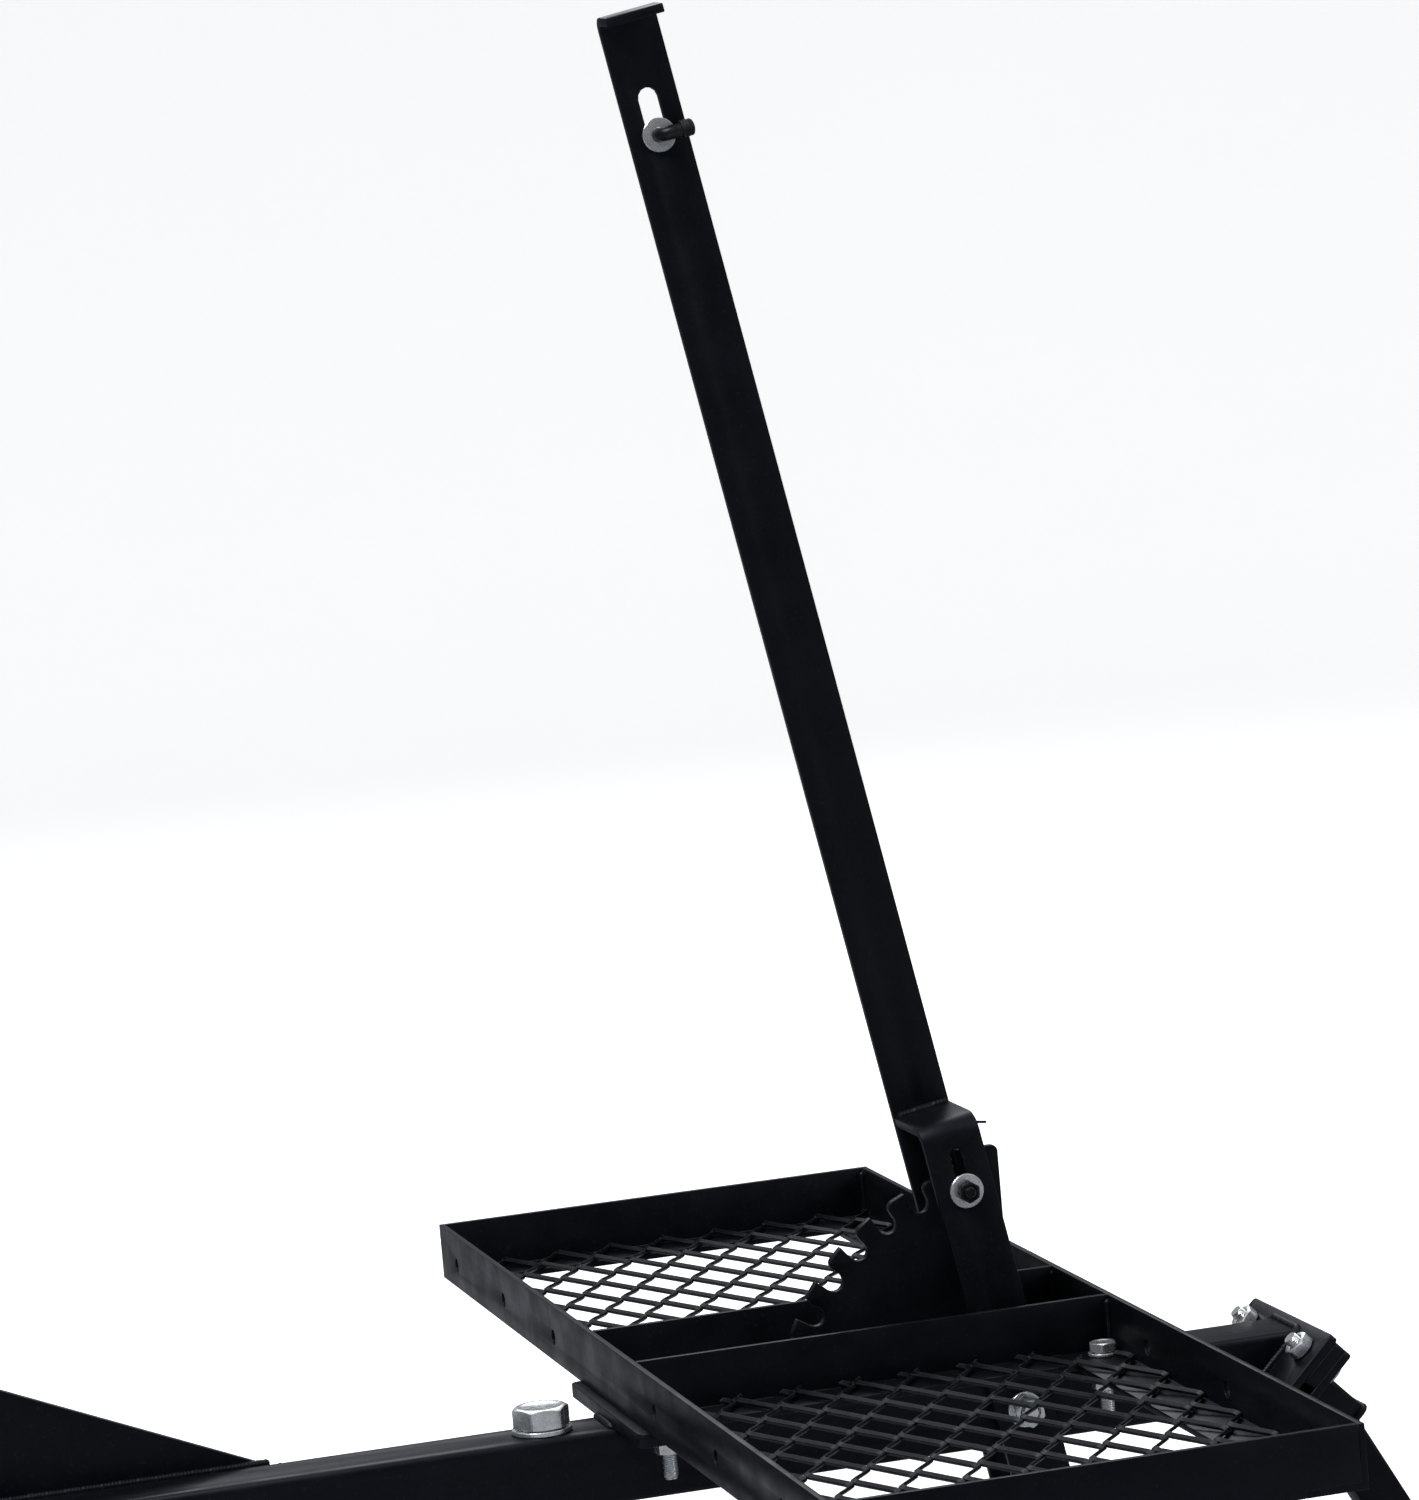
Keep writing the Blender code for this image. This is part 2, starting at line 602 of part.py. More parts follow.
def make_lever(lever):
    half = LEVER_BAR / 2 + MM
    inner = FORK_HALF_GAP
    outer = inner + LEVER_THICK
    low = -FOOT_REACH - LEVER_BAR
    bend = 9 * MM
    # the long bar, with a tab bent forward at its top
    outline = [(inner, low), (outer, low)]
    corner = (outer - bend, LEVER_TOP - bend)
    edge = inner - TOP_TAB
    edge_top = LEVER_TOP - math.tan(math.radians(TAB_DROOP)) * (corner[0] - edge)
    outline += arc(corner, bend, 0, 90 + TAB_DROOP, 5)
    outline += [(edge, edge_top), (edge, edge_top - LEVER_THICK)]
    outline += arc(corner, bend - LEVER_THICK, 90 + TAB_DROOP, 0, 3)
    bar = add("lever_bar", extrude([outline], -half, half, "YZ"), "powder_coat", lever)
    boolean(bar, round_ends(), "INTERSECT")
    grip_slot = extrude([slot(GRIP_HEIGHT, GRIP_HEIGHT + LATCH_TRAVEL, GRIP_SLOT_HALF)], 0, 60 * MM, "XZ")
    boolean(bar, lever_cutter(), "DIFFERENCE")
    boolean(bar, grip_slot, "DIFFERENCE")

    # the strap that bends over the quadrant and runs down the tube's near side
    bend = 12 * MM
    outline = [(-outer, low), (-inner, low)]
    outline += arc((bend - outer, WEB_HEIGHT - bend), bend - LEVER_THICK, 180, 90, 3)
    outline += [(inner - GAP, WEB_HEIGHT - LEVER_THICK), (inner - GAP, WEB_HEIGHT)]
    outline += arc((bend - outer, WEB_HEIGHT - bend), bend, 90, 180, 5)
    strap = add("lever_strap", extrude([outline], -half, half, "YZ"), "powder_coat", lever)
    boolean(strap, round_ends(), "INTERSECT")
    boolean(strap, lever_cutter(), "DIFFERENCE")

    wall = 2.5 * MM
    rings = [circle((0, -FOOT_REACH), FOOT_RADIUS, 20), circle((0, -FOOT_REACH), FOOT_RADIUS - wall, 20)]
    add("foot_tube", extrude(rings, -FOOT_HALF_LENGTH, FOOT_HALF_LENGTH, "XZ"), "powder_coat", lever)


def make_pivot(carrier):
    """The bolt that the lever turns on, with the sleeve that keeps it from crushing the tube."""
    shank, across, head, nut_high = M12
    hole = shank + GAP
    inside = HALF - TUBE_WALL - GAP
    sleeve = washer(hole, 9 * MM, 2 * inside)
    add("pivot_sleeve", merged([(sleeve, at(PIVOT_X, -inside, -HALF, ALONG_Y))]), "zinc", carrier)
    side = FORK_HALF_GAP + LEVER_THICK + GAP
    thick = 2.5 * MM
    seat = side + thick + GAP
    for name, facing, turn in (("near", -1, ALONG_MINUS_Y), ("far", 1, ALONG_Y)):
        ring = washer(hole, 12 * MM, thick)
        placed = merged([(ring, at(PIVOT_X, facing * side, -HALF, turn))])
        add(f"pivot_washer_{name}", placed, "zinc", carrier)
    long = bolt(shank, 2 * seat + nut_high + 1.5 * MM, across, head)
    add("pivot_bolt", merged([(long, at(PIVOT_X, seat, -HALF, ALONG_Y))]), "zinc", carrier)
    hexagon = nut(hole, across, nut_high)
    add("pivot_nut", merged([(hexagon, at(PIVOT_X, -seat, -HALF, ALONG_MINUS_Y))]), "zinc", carrier)


# -------------------------------------------------------------------- latch

def make_latch(lever):
    """The bolt that drops in the notches, and the rod that lifts it from the top of the lever."""
    shank, across, head, nut_high = M8
    hole = shank + GAP
    half = across / 2
    side = FORK_HALF_GAP + LEVER_THICK + GAP
    thick = 2.5 * MM
    seat = side + thick + GAP
    eye_thick = 4 * MM
    head_y = seat + eye_thick + GAP
    end = seat + nut_high + 2 * MM
    roller = FORK_HALF_GAP - GAP
    z = LATCH_HEIGHT
    # an 8 mm bolt, which its roller thickens to 12 mm between the legs
    pin = loft([(shank - MM, -end, False), (shank, MM - end, False), (shank, -roller, False),
                (PIN12, -roller, False), (PIN12, roller, False), (shank, roller, False),
                (shank, head_y, False), (half, head_y, True), (half, head_y + head - MM, True),
                (half * 0.94, head_y + head, False)])
    add("latch_pin", merged([(pin, at(0, 0, z, ALONG_Y))]), "black_steel", lever)
    add("latch_nut", merged([(nut(hole, across, nut_high), at(0, -seat, z, ALONG_MINUS_Y))]),
        "black_steel", lever)
    for name, facing, turn in (("near", -1, ALONG_MINUS_Y), ("far", 1, ALONG_Y)):
        ring = washer(hole, 11.5 * MM, thick)
        add(f"latch_washer_{name}", merged([(ring, at(0, facing * side, z, turn))]), "zinc", lever)

    # a flat eye round the bolt, and the lift rod that stands on it
    eye_top = 24 * MM
    outline = arc((0, 0), 13 * MM, 150, 390, 10) + [(9 * MM, eye_top), (-9 * MM, eye_top)]
    eye = extrude([outline, circle((0, 0), hole)], seat, seat + eye_thick, "XZ")
    add("lift_eye", merged([(eye, at(0, 0, z))]), "black_steel", lever)
    rod_y = seat + eye_thick / 2
    make_lift_rod(lever, rod_y, z + eye_top + GAP)
    make_rod_guide(lever, rod_y)
    make_spring(lever)


def make_lift_rod(lever, rod_y, low):
    """The rod runs up the back of the bar, turns forward through the slot, then sideways as a finger grip."""
    finger_y = FORK_HALF_GAP - 12 * MM
    bend = 7 * MM
    turns = [math.radians(18 * i) for i in range(6)]
    points = [(0, rod_y, low)]
    for turn in turns:
        rise = GRIP_HEIGHT - bend + bend * math.sin(turn)
        points.append((0, rod_y - bend * (1 - math.cos(turn)), rise))
    for turn in turns:
        points.append((bend * (1 - math.cos(turn)), finger_y + bend - bend * math.sin(turn), GRIP_HEIGHT))
    points.append((GRIP_REACH, finger_y, GRIP_HEIGHT))
    add_wire("lift_rod", points, LIFT_ROD, "black_steel", lever, resolution=2)

    # a cap over the finger's end
    hole = LIFT_ROD + GAP
    cover = 6.3 * MM
    start = GRIP_REACH - 6.5 * MM
    end = GRIP_REACH + 3 * MM
    cap = loft([(2.5 * MM, end, False), (cover - 1.4 * MM, end - MM, False), (cover, end - 3 * MM, False),
                (cover, start, False), (hole, start, False), (hole, GRIP_REACH + GAP, False)], sides=16)
    add("grip_sleeve", merged([(cap, at(0, finger_y, GRIP_HEIGHT, ALONG_X))]), "vinyl", lever)
    ring = washer(hole, 11.3 * MM, 2 * MM)
    seat = FORK_HALF_GAP - GAP
    add("grip_washer", merged([(ring, at(0, seat, GRIP_HEIGHT, ALONG_MINUS_Y))]), "zinc", lever)


def make_rod_guide(lever, rod_y):
    """A folded tab on the back of the bar that keeps the lift rod straight."""
    face = FORK_HALF_GAP + LEVER_THICK + GAP
    back = rod_y + LIFT_ROD + 5 * MM
    outline = [(-11 * MM, face), (11 * MM, face), (11 * MM, back - 5 * MM), (6 * MM, back),
               (-6 * MM, back), (-11 * MM, back - 5 * MM)]
    # open to the bar, so that the rod lies in a slot and not in a hole
    gap = LIFT_ROD + 0.6 * MM
    notch = [(gap, face)] + arc((0, rod_y), gap, 0, 180, 8) + [(-gap, face)]
    loop = notch + [outline[0], outline[5], outline[4], outline[3], outline[2], outline[1]]
    guide = extrude([loop], ROD_GUIDE_HEIGHT, ROD_GUIDE_HEIGHT + 4 * MM)
    add("rod_guide", guide, "powder_coat", lever)


def make_spring(lever):
    """The spring between the strap's web and the latch pin, beside the quadrant plate."""
    wire = 0.9 * MM
    coil = 7 * MM
    low = LATCH_HEIGHT + PIN12 + wire + GAP
    high = WEB_HEIGHT - LEVER_THICK - wire - GAP
    turns = 5
    per_turn = 12
    middle_y = 14.5 * MM
    points = []
    for i in range(turns * per_turn + 1):
        angle = 2 * math.pi * i / per_turn
        height = low + (high - low) * i / (turns * per_turn)
        points.append((coil * math.sin(angle), middle_y - coil * math.cos(angle), height))
    points.append((coil + 8 * MM, middle_y - coil, high))
    points.append((coil + 21 * MM, middle_y - coil, high))
    add_wire("latch_spring", points, wire, "black_steel", lever)


# -------------------------------------------------------------- rear bracket

def make_rear(rear):
    """The leaning end plate, and the leg bolted to it.

    In the bracket's own frame, +Z runs up the plate and +X points away from the tube.
    """
    shank, across, head, nut_high = M10
    hole = shank + GAP
    spots = [(y, -REAR_BOLT_DROP) for y in (-REAR_BOLT_Y, REAR_BOLT_Y)]
    holes = [circle(spot, hole, 12) for spot in spots]

    def plate(name, start, thick, high, low):
        outline = [(y, z + (high + low) / 2) for y, z in rounded_box(2 * REAR_PLATE_HALF, high - low, 3 * MM)]
        add(name, extrude([outline] + holes, start, start + thick, "YZ"), "powder_coat", rear)
        return start + thick + GAP

    spacer_x = plate("end_plate", 0, REAR_PLATE_THICK, 0, -REAR_PLATE_HEIGHT)
    flange_x = plate("rear_spacer", spacer_x, REAR_SPACER_THICK, -2 * MM, -36 * MM)
    stub_x = plate("rear_flange", flange_x, REAR_PLATE_THICK, -2 * MM, -60 * MM)

    # bolts come from behind; their nuts and studs stand on the tube side
    length = stub_x + GAP + nut_high + 5 * MM
    from_tube = Matrix.Rotation(math.radians(-90), 4, "Y")
    for name, (y, z) in zip(("near", "far"), spots):
        long = bolt(shank, length, across, head)
        add(f"rear_bolt_{name}", merged([(long, at(stub_x, y, z, ALONG_X))]), "zinc", rear)
        hexagon = nut(hole, across, nut_high)
        add(f"rear_nut_{name}", merged([(hexagon, at(-GAP, y, z, from_tube))]), "zinc", rear)

    wall = 3 * MM
    inner = STUB_SIZE - 2 * wall
    rings = [rounded_box(STUB_SIZE, STUB_SIZE, 4 * MM), rounded_box(inner, inner, MM)]
    stub = extrude(rings, stub_x, STUB_END, "YZ")
    add("rear_stub", merged([(stub, at(0, 0, -STUB_TOP - STUB_SIZE / 2))]), "powder_coat", rear)
    make_rear_leg(rear)


def make_rear_leg(rear):
    """The square leg, cut to the stub's end at its top and to the ground at its foot plate."""
    wall = 2.5 * MM
    inner = LEG_SIZE - 2 * wall
    rings = [rounded_box(LEG_SIZE, LEG_SIZE, 3 * MM), rounded_box(inner, inner, 0.5 * MM)]
    leg = extrude(rings, 0, LEG_LENGTH, "YZ")
    bmesh.ops.translate(leg, verts=leg.verts, vec=(0, 0, -LEG_SIZE / 2))
    ground = REAR_LEAN + LEG_TURN
    for vert in leg.verts:
        if vert.co.x < MM:
            vert.co.x = -vert.co.z * math.tan(LEG_TURN)
        else:
            vert.co.x = LEG_LENGTH + (vert.co.z + LEG_SIZE / 2) / math.tan(ground)
    start = at(STUB_END + GAP, 0, -LEG_TOP, Matrix.Rotation(LEG_TURN, 4, "Y"))
    add("rear_leg", merged([(leg, start)]), "powder_coat", rear)
    thick = 5 * MM
    foot = extrude([rounded_box(90 * MM, 80 * MM, 8 * MM)], -thick - GAP, -GAP)
    end = start @ at(LEG_LENGTH, 0, -LEG_SIZE / 2, Matrix.Rotation(-ground, 4, "Y"))
    add("rear_foot", merged([(foot, end)]), "powder_coat", rear)


# --------------------------------------------------------------------- build

def main():
    for obj in list(bpy.data.objects):
        bpy.data.objects.remove(obj)
    carrier = empty("carrier", (TRAY_X, 0, -SHANK_Z), 0, None)
    lever = empty("lever_axis", (PIVOT_X, 0, -HALF), -LEVER_TILT, carrier)
    rear = empty("rear_frame", (REAR_EDGE_X, 0, REAR_EDGE_Z), REAR_LEAN, carrier)
    make_hitch(carrier)
    make_main_tube(carrier)
    make_rail(carrier, "tray_rail_front", -1)
    make_rail(carrier, "tray_rail_rear", 1)
    for name, side in (("near", -1), ("far", 1)):
        make_cross_angle(carrier, f"tray_end_{name}", side * TRAY_LENGTH / 2, -side)
        make_cross_angle(carrier, f"tray_divider_{name}", side * CHANNEL_HALF, side)
        make_mesh_panel(carrier, f"mesh_panel_{name}", side)
    make_mounts(carrier)
    make_quadrant(carrier)
    make_lever(lever)
    make_pivot(carrier)
    make_latch(lever)
    make_rear(rear)


main()
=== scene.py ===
"""Looks for the hitch cargo carrier: powder-coated steel, zinc-plated hardware, expanded metal and welds."""
import json
import math

import bmesh
import bpy
from mathutils import Matrix, Vector, noise


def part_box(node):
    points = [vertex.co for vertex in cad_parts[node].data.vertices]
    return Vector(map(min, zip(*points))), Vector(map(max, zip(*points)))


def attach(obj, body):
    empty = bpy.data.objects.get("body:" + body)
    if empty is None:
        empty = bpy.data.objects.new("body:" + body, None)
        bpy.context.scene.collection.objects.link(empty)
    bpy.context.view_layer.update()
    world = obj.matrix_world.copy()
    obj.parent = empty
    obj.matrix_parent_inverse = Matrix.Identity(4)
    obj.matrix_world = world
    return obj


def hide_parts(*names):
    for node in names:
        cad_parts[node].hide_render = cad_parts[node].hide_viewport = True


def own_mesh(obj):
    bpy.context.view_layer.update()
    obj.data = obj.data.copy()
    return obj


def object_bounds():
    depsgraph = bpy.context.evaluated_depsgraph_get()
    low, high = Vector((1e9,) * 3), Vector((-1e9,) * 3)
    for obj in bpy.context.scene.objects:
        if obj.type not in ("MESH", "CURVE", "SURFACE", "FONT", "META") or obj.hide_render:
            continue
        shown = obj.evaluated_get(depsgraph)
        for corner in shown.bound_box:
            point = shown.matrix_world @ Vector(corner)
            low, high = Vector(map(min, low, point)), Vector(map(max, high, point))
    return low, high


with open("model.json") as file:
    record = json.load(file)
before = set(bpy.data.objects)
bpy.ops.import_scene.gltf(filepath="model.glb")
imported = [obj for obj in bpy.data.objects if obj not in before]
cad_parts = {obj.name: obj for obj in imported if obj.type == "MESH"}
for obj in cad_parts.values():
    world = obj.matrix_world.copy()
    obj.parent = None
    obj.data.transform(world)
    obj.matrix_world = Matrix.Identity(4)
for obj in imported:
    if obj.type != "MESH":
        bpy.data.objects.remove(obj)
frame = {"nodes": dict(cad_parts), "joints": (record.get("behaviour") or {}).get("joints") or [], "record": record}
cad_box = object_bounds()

MM = 0.001
X = Vector((1, 0, 0))
Y = Vector((0, 1, 0))
Z = Vector((0, 0, 1))
SHARP = math.radians(35)          # an edge this sharp or sharper is shaded as an edge


# ------------------------------------------------------------------ places

def vertices(node):
    return [v.co.copy() for v in frame["nodes"][node].data.vertices]


def largest_normal(node):
    """The normal of a plate's broadest faces."""
    areas = {}
    for face in frame["nodes"][node].data.polygons:
        key = tuple(round(c, 3) for c in face.normal)
        areas[key] = areas.get(key, 0) + face.area
    return Vector(max(areas, key=areas.get)).normalized()


def span(node, axis):
    """The lower and upper end of a node's centre line along an axis."""
    side = axis.orthogonal().normalized()
    other = axis.cross(side)
    points = vertices(node)

    def limits(direction):
        reach = [p.dot(direction) for p in points]
        return min(reach), max(reach)

    center = side * sum(limits(side)) / 2 + other * sum(limits(other)) / 2
    low, high = limits(axis)
    return center + axis * low, center + axis * high


JOINTS = {joint["name"]: joint for joint in frame["joints"]}
PIVOT = Vector(JOINTS["lever_swing"]["pos_m"])
UP_LEVER = Vector(JOINTS["latch_lift"]["axis"]).normalized()
ACROSS_LEVER = Y.cross(UP_LEVER)
TUBE_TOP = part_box("main_tube")[1].z
RAIL_LOW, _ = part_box("tray_rail_front")
_, RAIL_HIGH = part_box("tray_rail_rear")
TRAY_X = (RAIL_LOW.x + RAIL_HIGH.x) / 2
REAR_OUT = largest_normal("end_plate")
if REAR_OUT.x < 0:
    REAR_OUT = -REAR_OUT


def on_lever(along, across=0.0, y=0.0):
    """A point by its height along the lever from the pivot, its offset to the rear and its y."""
    return PIVOT + UP_LEVER * along + ACROSS_LEVER * across + Y * y


# --------------------------------------------------------------- materials

class Nodes:
    """A small helper for building a material's node tree."""

    def __init__(self, name):
        self.material = bpy.data.materials.new(name)
        self.material.use_nodes = True
        self.tree = self.material.node_tree
        self.shader = self.tree.nodes["Principled BSDF"]
        self.place = self.add("ShaderNodeTexCoord").outputs["Object"]

    def add(self, kind, **settings):
        node = self.tree.nodes.new(kind)
        for key, value in settings.items():
            setattr(node, key, value)
        return node

    def link(self, source, target):
        self.tree.links.new(source, target)

    def noise(self, scale, detail=3.0, rough=0.5, stretch=None):
        node = self.add("ShaderNodeTexNoise")
        node.inputs["Scale"].default_value = scale
        node.inputs["Detail"].default_value = detail
        node.inputs["Roughness"].default_value = rough
        place = self.place
        if stretch:
            mapping = self.add("ShaderNodeMapping")
            mapping.inputs["Scale"].default_value = stretch
            self.link(place, mapping.inputs["Vector"])
            place = mapping.outputs["Vector"]
        self.link(place, node.inputs["Vector"])
        return node.outputs["Fac"]

    def remap(self, value, low, high, out_low, out_high):
        node = self.add("ShaderNodeMapRange", interpolation_type="SMOOTHSTEP")
        node.inputs["From Min"].default_value = low
        node.inputs["From Max"].default_value = high
        node.inputs["To Min"].default_value = out_low
        node.inputs["To Max"].default_value = out_high
        self.link(value, node.inputs["Value"])
        return node.outputs["Result"]

    def math(self, operation, a, b):
        node = self.add("ShaderNodeMath", operation=operation)
        for slot, value in zip(node.inputs, (a, b)):
            if isinstance(value, (int, float)):
                slot.default_value = value
            else:
                self.link(value, slot)
        return node.outputs["Value"]

    def mix(self, factor, a, b):
        node = self.add("ShaderNodeMix", data_type="RGBA")
        self.link(factor, node.inputs[0])
        for slot, value in ((node.inputs[6], a), (node.inputs[7], b)):
            if isinstance(value, tuple):
                slot.default_value = (*value, 1)
            else:
                self.link(value, slot)
        return node.outputs[2]

    def bump(self, height, distance, strength=1.0, under=None):
        node = self.add("ShaderNodeBump")
        node.inputs["Distance"].default_value = distance
        node.inputs["Strength"].default_value = strength
        self.link(height, node.inputs["Height"])
        if under:
            self.link(under, node.inputs["Normal"])
        return node.outputs["Normal"]

    def edges(self, radius):
        """1 near a sharp edge, 0 on flat faces."""
        bevel = self.add("ShaderNodeBevel", samples=4)
        bevel.inputs["Radius"].default_value = radius
        geometry = self.add("ShaderNodeNewGeometry")
        dot = self.add("ShaderNodeVectorMath", operation="DOT_PRODUCT")
        self.link(bevel.outputs["Normal"], dot.inputs[0])
        self.link(geometry.outputs["Normal"], dot.inputs[1])
        return self.remap(dot.outputs["Value"], 0.98, 0.8, 0.0, 1.0)


def powder_coat():
    """Black semi-gloss powder coat: fine orange peel, a little dust, and thin paint along the edges, whose light
    bluish grey is also a painted highlight on the rims and bends.
    """
    m = Nodes("powder_coat")
    dust = m.remap(m.noise(9, 5, 0.6), 0.45, 0.75, 0.0, 1.0)
    fleck = m.remap(m.noise(420, 2), 0.62, 0.72, 0.0, 1.0)
    black = m.mix(dust, (0.0020, 0.0021, 0.0032), (0.0038, 0.0040, 0.0056))
    black = m.mix(m.math("MULTIPLY", fleck, 0.3), black, (0.02, 0.02, 0.023))
    # Edge mask and colour: partly real thin paint at worn edges, partly a painted highlight along rims and bends.
    wear_and_highlight = m.math("MULTIPLY", m.edges(0.7 * MM), m.remap(m.noise(60, 4, 0.7), 0.4, 0.62, 0.1, 0.75))
    color = m.mix(wear_and_highlight, black, (0.15, 0.155, 0.17))
    m.link(color, m.shader.inputs["Base Color"])
    shine = m.remap(m.noise(30, 4, 0.6), 0.3, 0.7, 0.33, 0.47)
    m.link(m.math("ADD", shine, m.math("MULTIPLY", dust, 0.05)), m.shader.inputs["Roughness"])
    m.shader.inputs["Specular IOR Level"].default_value = 0.19
    m.shader.inputs["Specular Tint"].default_value = (0.8, 0.86, 1, 1)
    peel = m.bump(m.noise(650, 2, 0.4), 0.07 * MM, 0.5)
    grain = m.bump(m.noise(2400, 1), 0.03 * MM, 0.4, peel)
    wave = m.bump(m.noise(14, 1), 0.3 * MM, 0.08, grain)
    m.link(wave, m.shader.inputs["Normal"])
    return m.material


def zinc():
    """Bright zinc plate, with faint yellowish clouds and fine drawn scratches."""
    m = Nodes("zinc_plate")
    cloud = m.remap(m.noise(160, 3, 0.6), 0.35, 0.65, 0.0, 1.0)
    color = m.mix(cloud, (0.74, 0.76, 0.8), (0.666, 0.6688, 0.64))
    grime = m.remap(m.noise(210, 2, 0.5), 0.6, 0.8, 0.0, 0.15)
    color = m.mix(grime, color, (0.22, 0.21, 0.2))
    m.link(color, m.shader.inputs["Base Color"])
    m.shader.inputs["Metallic"].default_value = 0.85
    m.link(m.remap(m.noise(260, 2, 0.5), 0.3, 0.7, 0.22, 0.32), m.shader.inputs["Roughness"])
    scratch = m.bump(m.noise(900, 2, 0.5, (1, 1, 0.12)), 0.012 * MM, 0.04)
    dent = m.bump(m.noise(120, 1), 0.05 * MM, 0.08, scratch)
    m.link(dent, m.shader.inputs["Normal"])
    return m.material


def black_steel():
    """Black-oxide steel with rubbed spots where bare metal shows."""
    m = Nodes("black_oxide")
    rub = m.math("MULTIPLY", m.edges(0.5 * MM), m.remap(m.noise(220, 4, 0.7), 0.4, 0.6, 0.0, 0.8))
    spot = m.remap(m.noise(140, 4, 0.6), 0.45, 0.7, 0.0, 1.0)
    color = m.mix(spot, (0.012, 0.012, 0.015), (0.032, 0.031, 0.034))
    m.link(m.mix(rub, color, (0.2, 0.2, 0.21)), m.shader.inputs["Base Color"])
    m.shader.inputs["Metallic"].default_value = 0.8
    m.link(m.remap(m.noise(300, 4), 0.3, 0.7, 0.28, 0.45), m.shader.inputs["Roughness"])
    m.link(m.bump(m.noise(700, 3), 0.04 * MM, 0.5), m.shader.inputs["Normal"])
    return m.material


def vinyl():
    """Dipped black vinyl, dull and slightly pitted."""
    m = Nodes("dipped_vinyl")
    black = m.mix(m.noise(260, 3), (0.003, 0.003, 0.0035), (0.009, 0.009, 0.01))
    m.link(black, m.shader.inputs["Base Color"])
    m.link(m.remap(m.noise(400, 3), 0.3, 0.7, 0.42, 0.6), m.shader.inputs["Roughness"])
    m.shader.inputs["Specular IOR Level"].default_value = 0.25
    m.link(m.bump(m.noise(1500, 2), 0.05 * MM, 0.6), m.shader.inputs["Normal"])
    return m.material


MATERIALS = {
    "powder_coat": powder_coat(),
    "zinc": zinc(),
    "black_steel": black_steel(),
    "vinyl": vinyl(),
}
SLOT_OF = {entry["node"]: entry["material_slot"] for entry in frame["record"]["subparts"]}
BODY_OF = {node: body for body, members in frame["record"]["behaviour"]["bodies"].items() for node in members}


# ------------------------------------------------------------------ pieces

def piece(name, bm, body, slot, material=None):
    """A finished mesh: smooth where it curves, crisp at its edges, riding on its body."""
    mesh = bpy.data.meshes.new(name)
    bm.to_mesh(mesh)
    bm.free()
    obj = bpy.data.objects.new(name, mesh)
    bpy.context.scene.collection.objects.link(obj)
    mesh.materials.append(material or MATERIALS[slot])
    mesh.shade_smooth()
    mesh.set_sharp_from_angle(angle=SHARP)
    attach(obj, body)
    return obj


def stand_in(name, bm, node, material=None):
    """A finished mesh that stands for one CAD node."""
    obj = piece(name, bm, BODY_OF[node], SLOT_OF[node], material)
    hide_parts(node)
    return obj


def softened(node, width):
    """The node's own solid with its sharp edges rolled over, as coated steel has."""
    bm = bmesh.new()
    bm.from_mesh(frame["nodes"][node].data)
    bmesh.ops.remove_doubles(bm, verts=bm.verts, dist=1e-6)
    bmesh.ops.dissolve_limit(bm, angle_limit=math.radians(1), verts=bm.verts, edges=bm.edges)
    edges = [e for e in bm.edges if e.is_manifold and e.calc_face_angle() > math.radians(40)]
    bmesh.ops.bevel(bm, geom=edges, offset=width, segments=2, profile=0.5, affect="EDGES",
                    clamp_overlap=True)
    bmesh.ops.triangulate(bm, faces=[f for f in bm.faces if len(f.verts) > 4])
    return bm


def sweep(points, radius, sides=12, caps=True):
    """A round bar along the points; radius is a number or a function of the distance along it."""
    bm = bmesh.new()
    count = len(points)
    tangents = []
    for i in range(count):
        ahead = points[min(i + 1, count - 1)] - points[max(i - 1, 0)]
        tangents.append(ahead.normalized())
    normal = tangents[0].orthogonal().normalized()
    rings = []
    travelled = 0.0
    for i, (point, tangent) in enumerate(zip(points, tangents)):
        normal = (normal - tangent * normal.dot(tangent)).normalized()
        other = tangent.cross(normal)
        if i:
            travelled += (point - points[i - 1]).length
        reach = radius(travelled) if callable(radius) else radius
        ring = []
        for k in range(sides):
            angle = 2 * math.pi * k / sides
            ring.append(bm.verts.new(point + (normal * math.cos(angle) + other * math.sin(angle)) * reach))
        rings.append(ring)
    for lower, upper in zip(rings, rings[1:]):
        for k in range(sides):
            j = (k + 1) % sides
            bm.faces.new((lower[k], lower[j], upper[j], upper[k]))
    if caps:
        bm.faces.new(rings[0][::-1])
        bm.faces.new(rings[-1])
    bmesh.ops.recalc_face_normals(bm, faces=bm.faces)
    return bm


def smooth_path(points, step):
    """Points a step apart on a Catmull-Rom curve through the given ones."""
    out = []
    padded = [points[0] * 2 - points[1], *points, points[-1] * 2 - points[-2]]
    for a, b, c, d in zip(padded, padded[1:], padded[2:], padded[3:]):
        count = max(1, round((c - b).length / step))
        for i in range(count):
            t = i / count
            out.append(0.5 * (2 * b + (c - a) * t + (2 * a - 5 * b + 4 * c - d) * t * t
                              + (3 * b - a - 3 * c + d) * t ** 3))
    out.append(points[-1])
    return out


def turned(rings, base, axis, sides=48):
    """The points of a turned or six-sided piece. A ring gives (radius, height) at an angle."""
    side = axis.orthogonal().normalized()
    other = axis.cross(side)
    bm = bmesh.new()
    rows = []
    for ring in rings:
        row = []
        for k in range(sides):
            angle = 2 * math.pi * k / sides
            reach, height = ring(angle)
            row.append(bm.verts.new(base + axis * height
                                    + (side * math.cos(angle) + other * math.sin(angle)) * reach))
        rows.append(row)
    return bm, rows


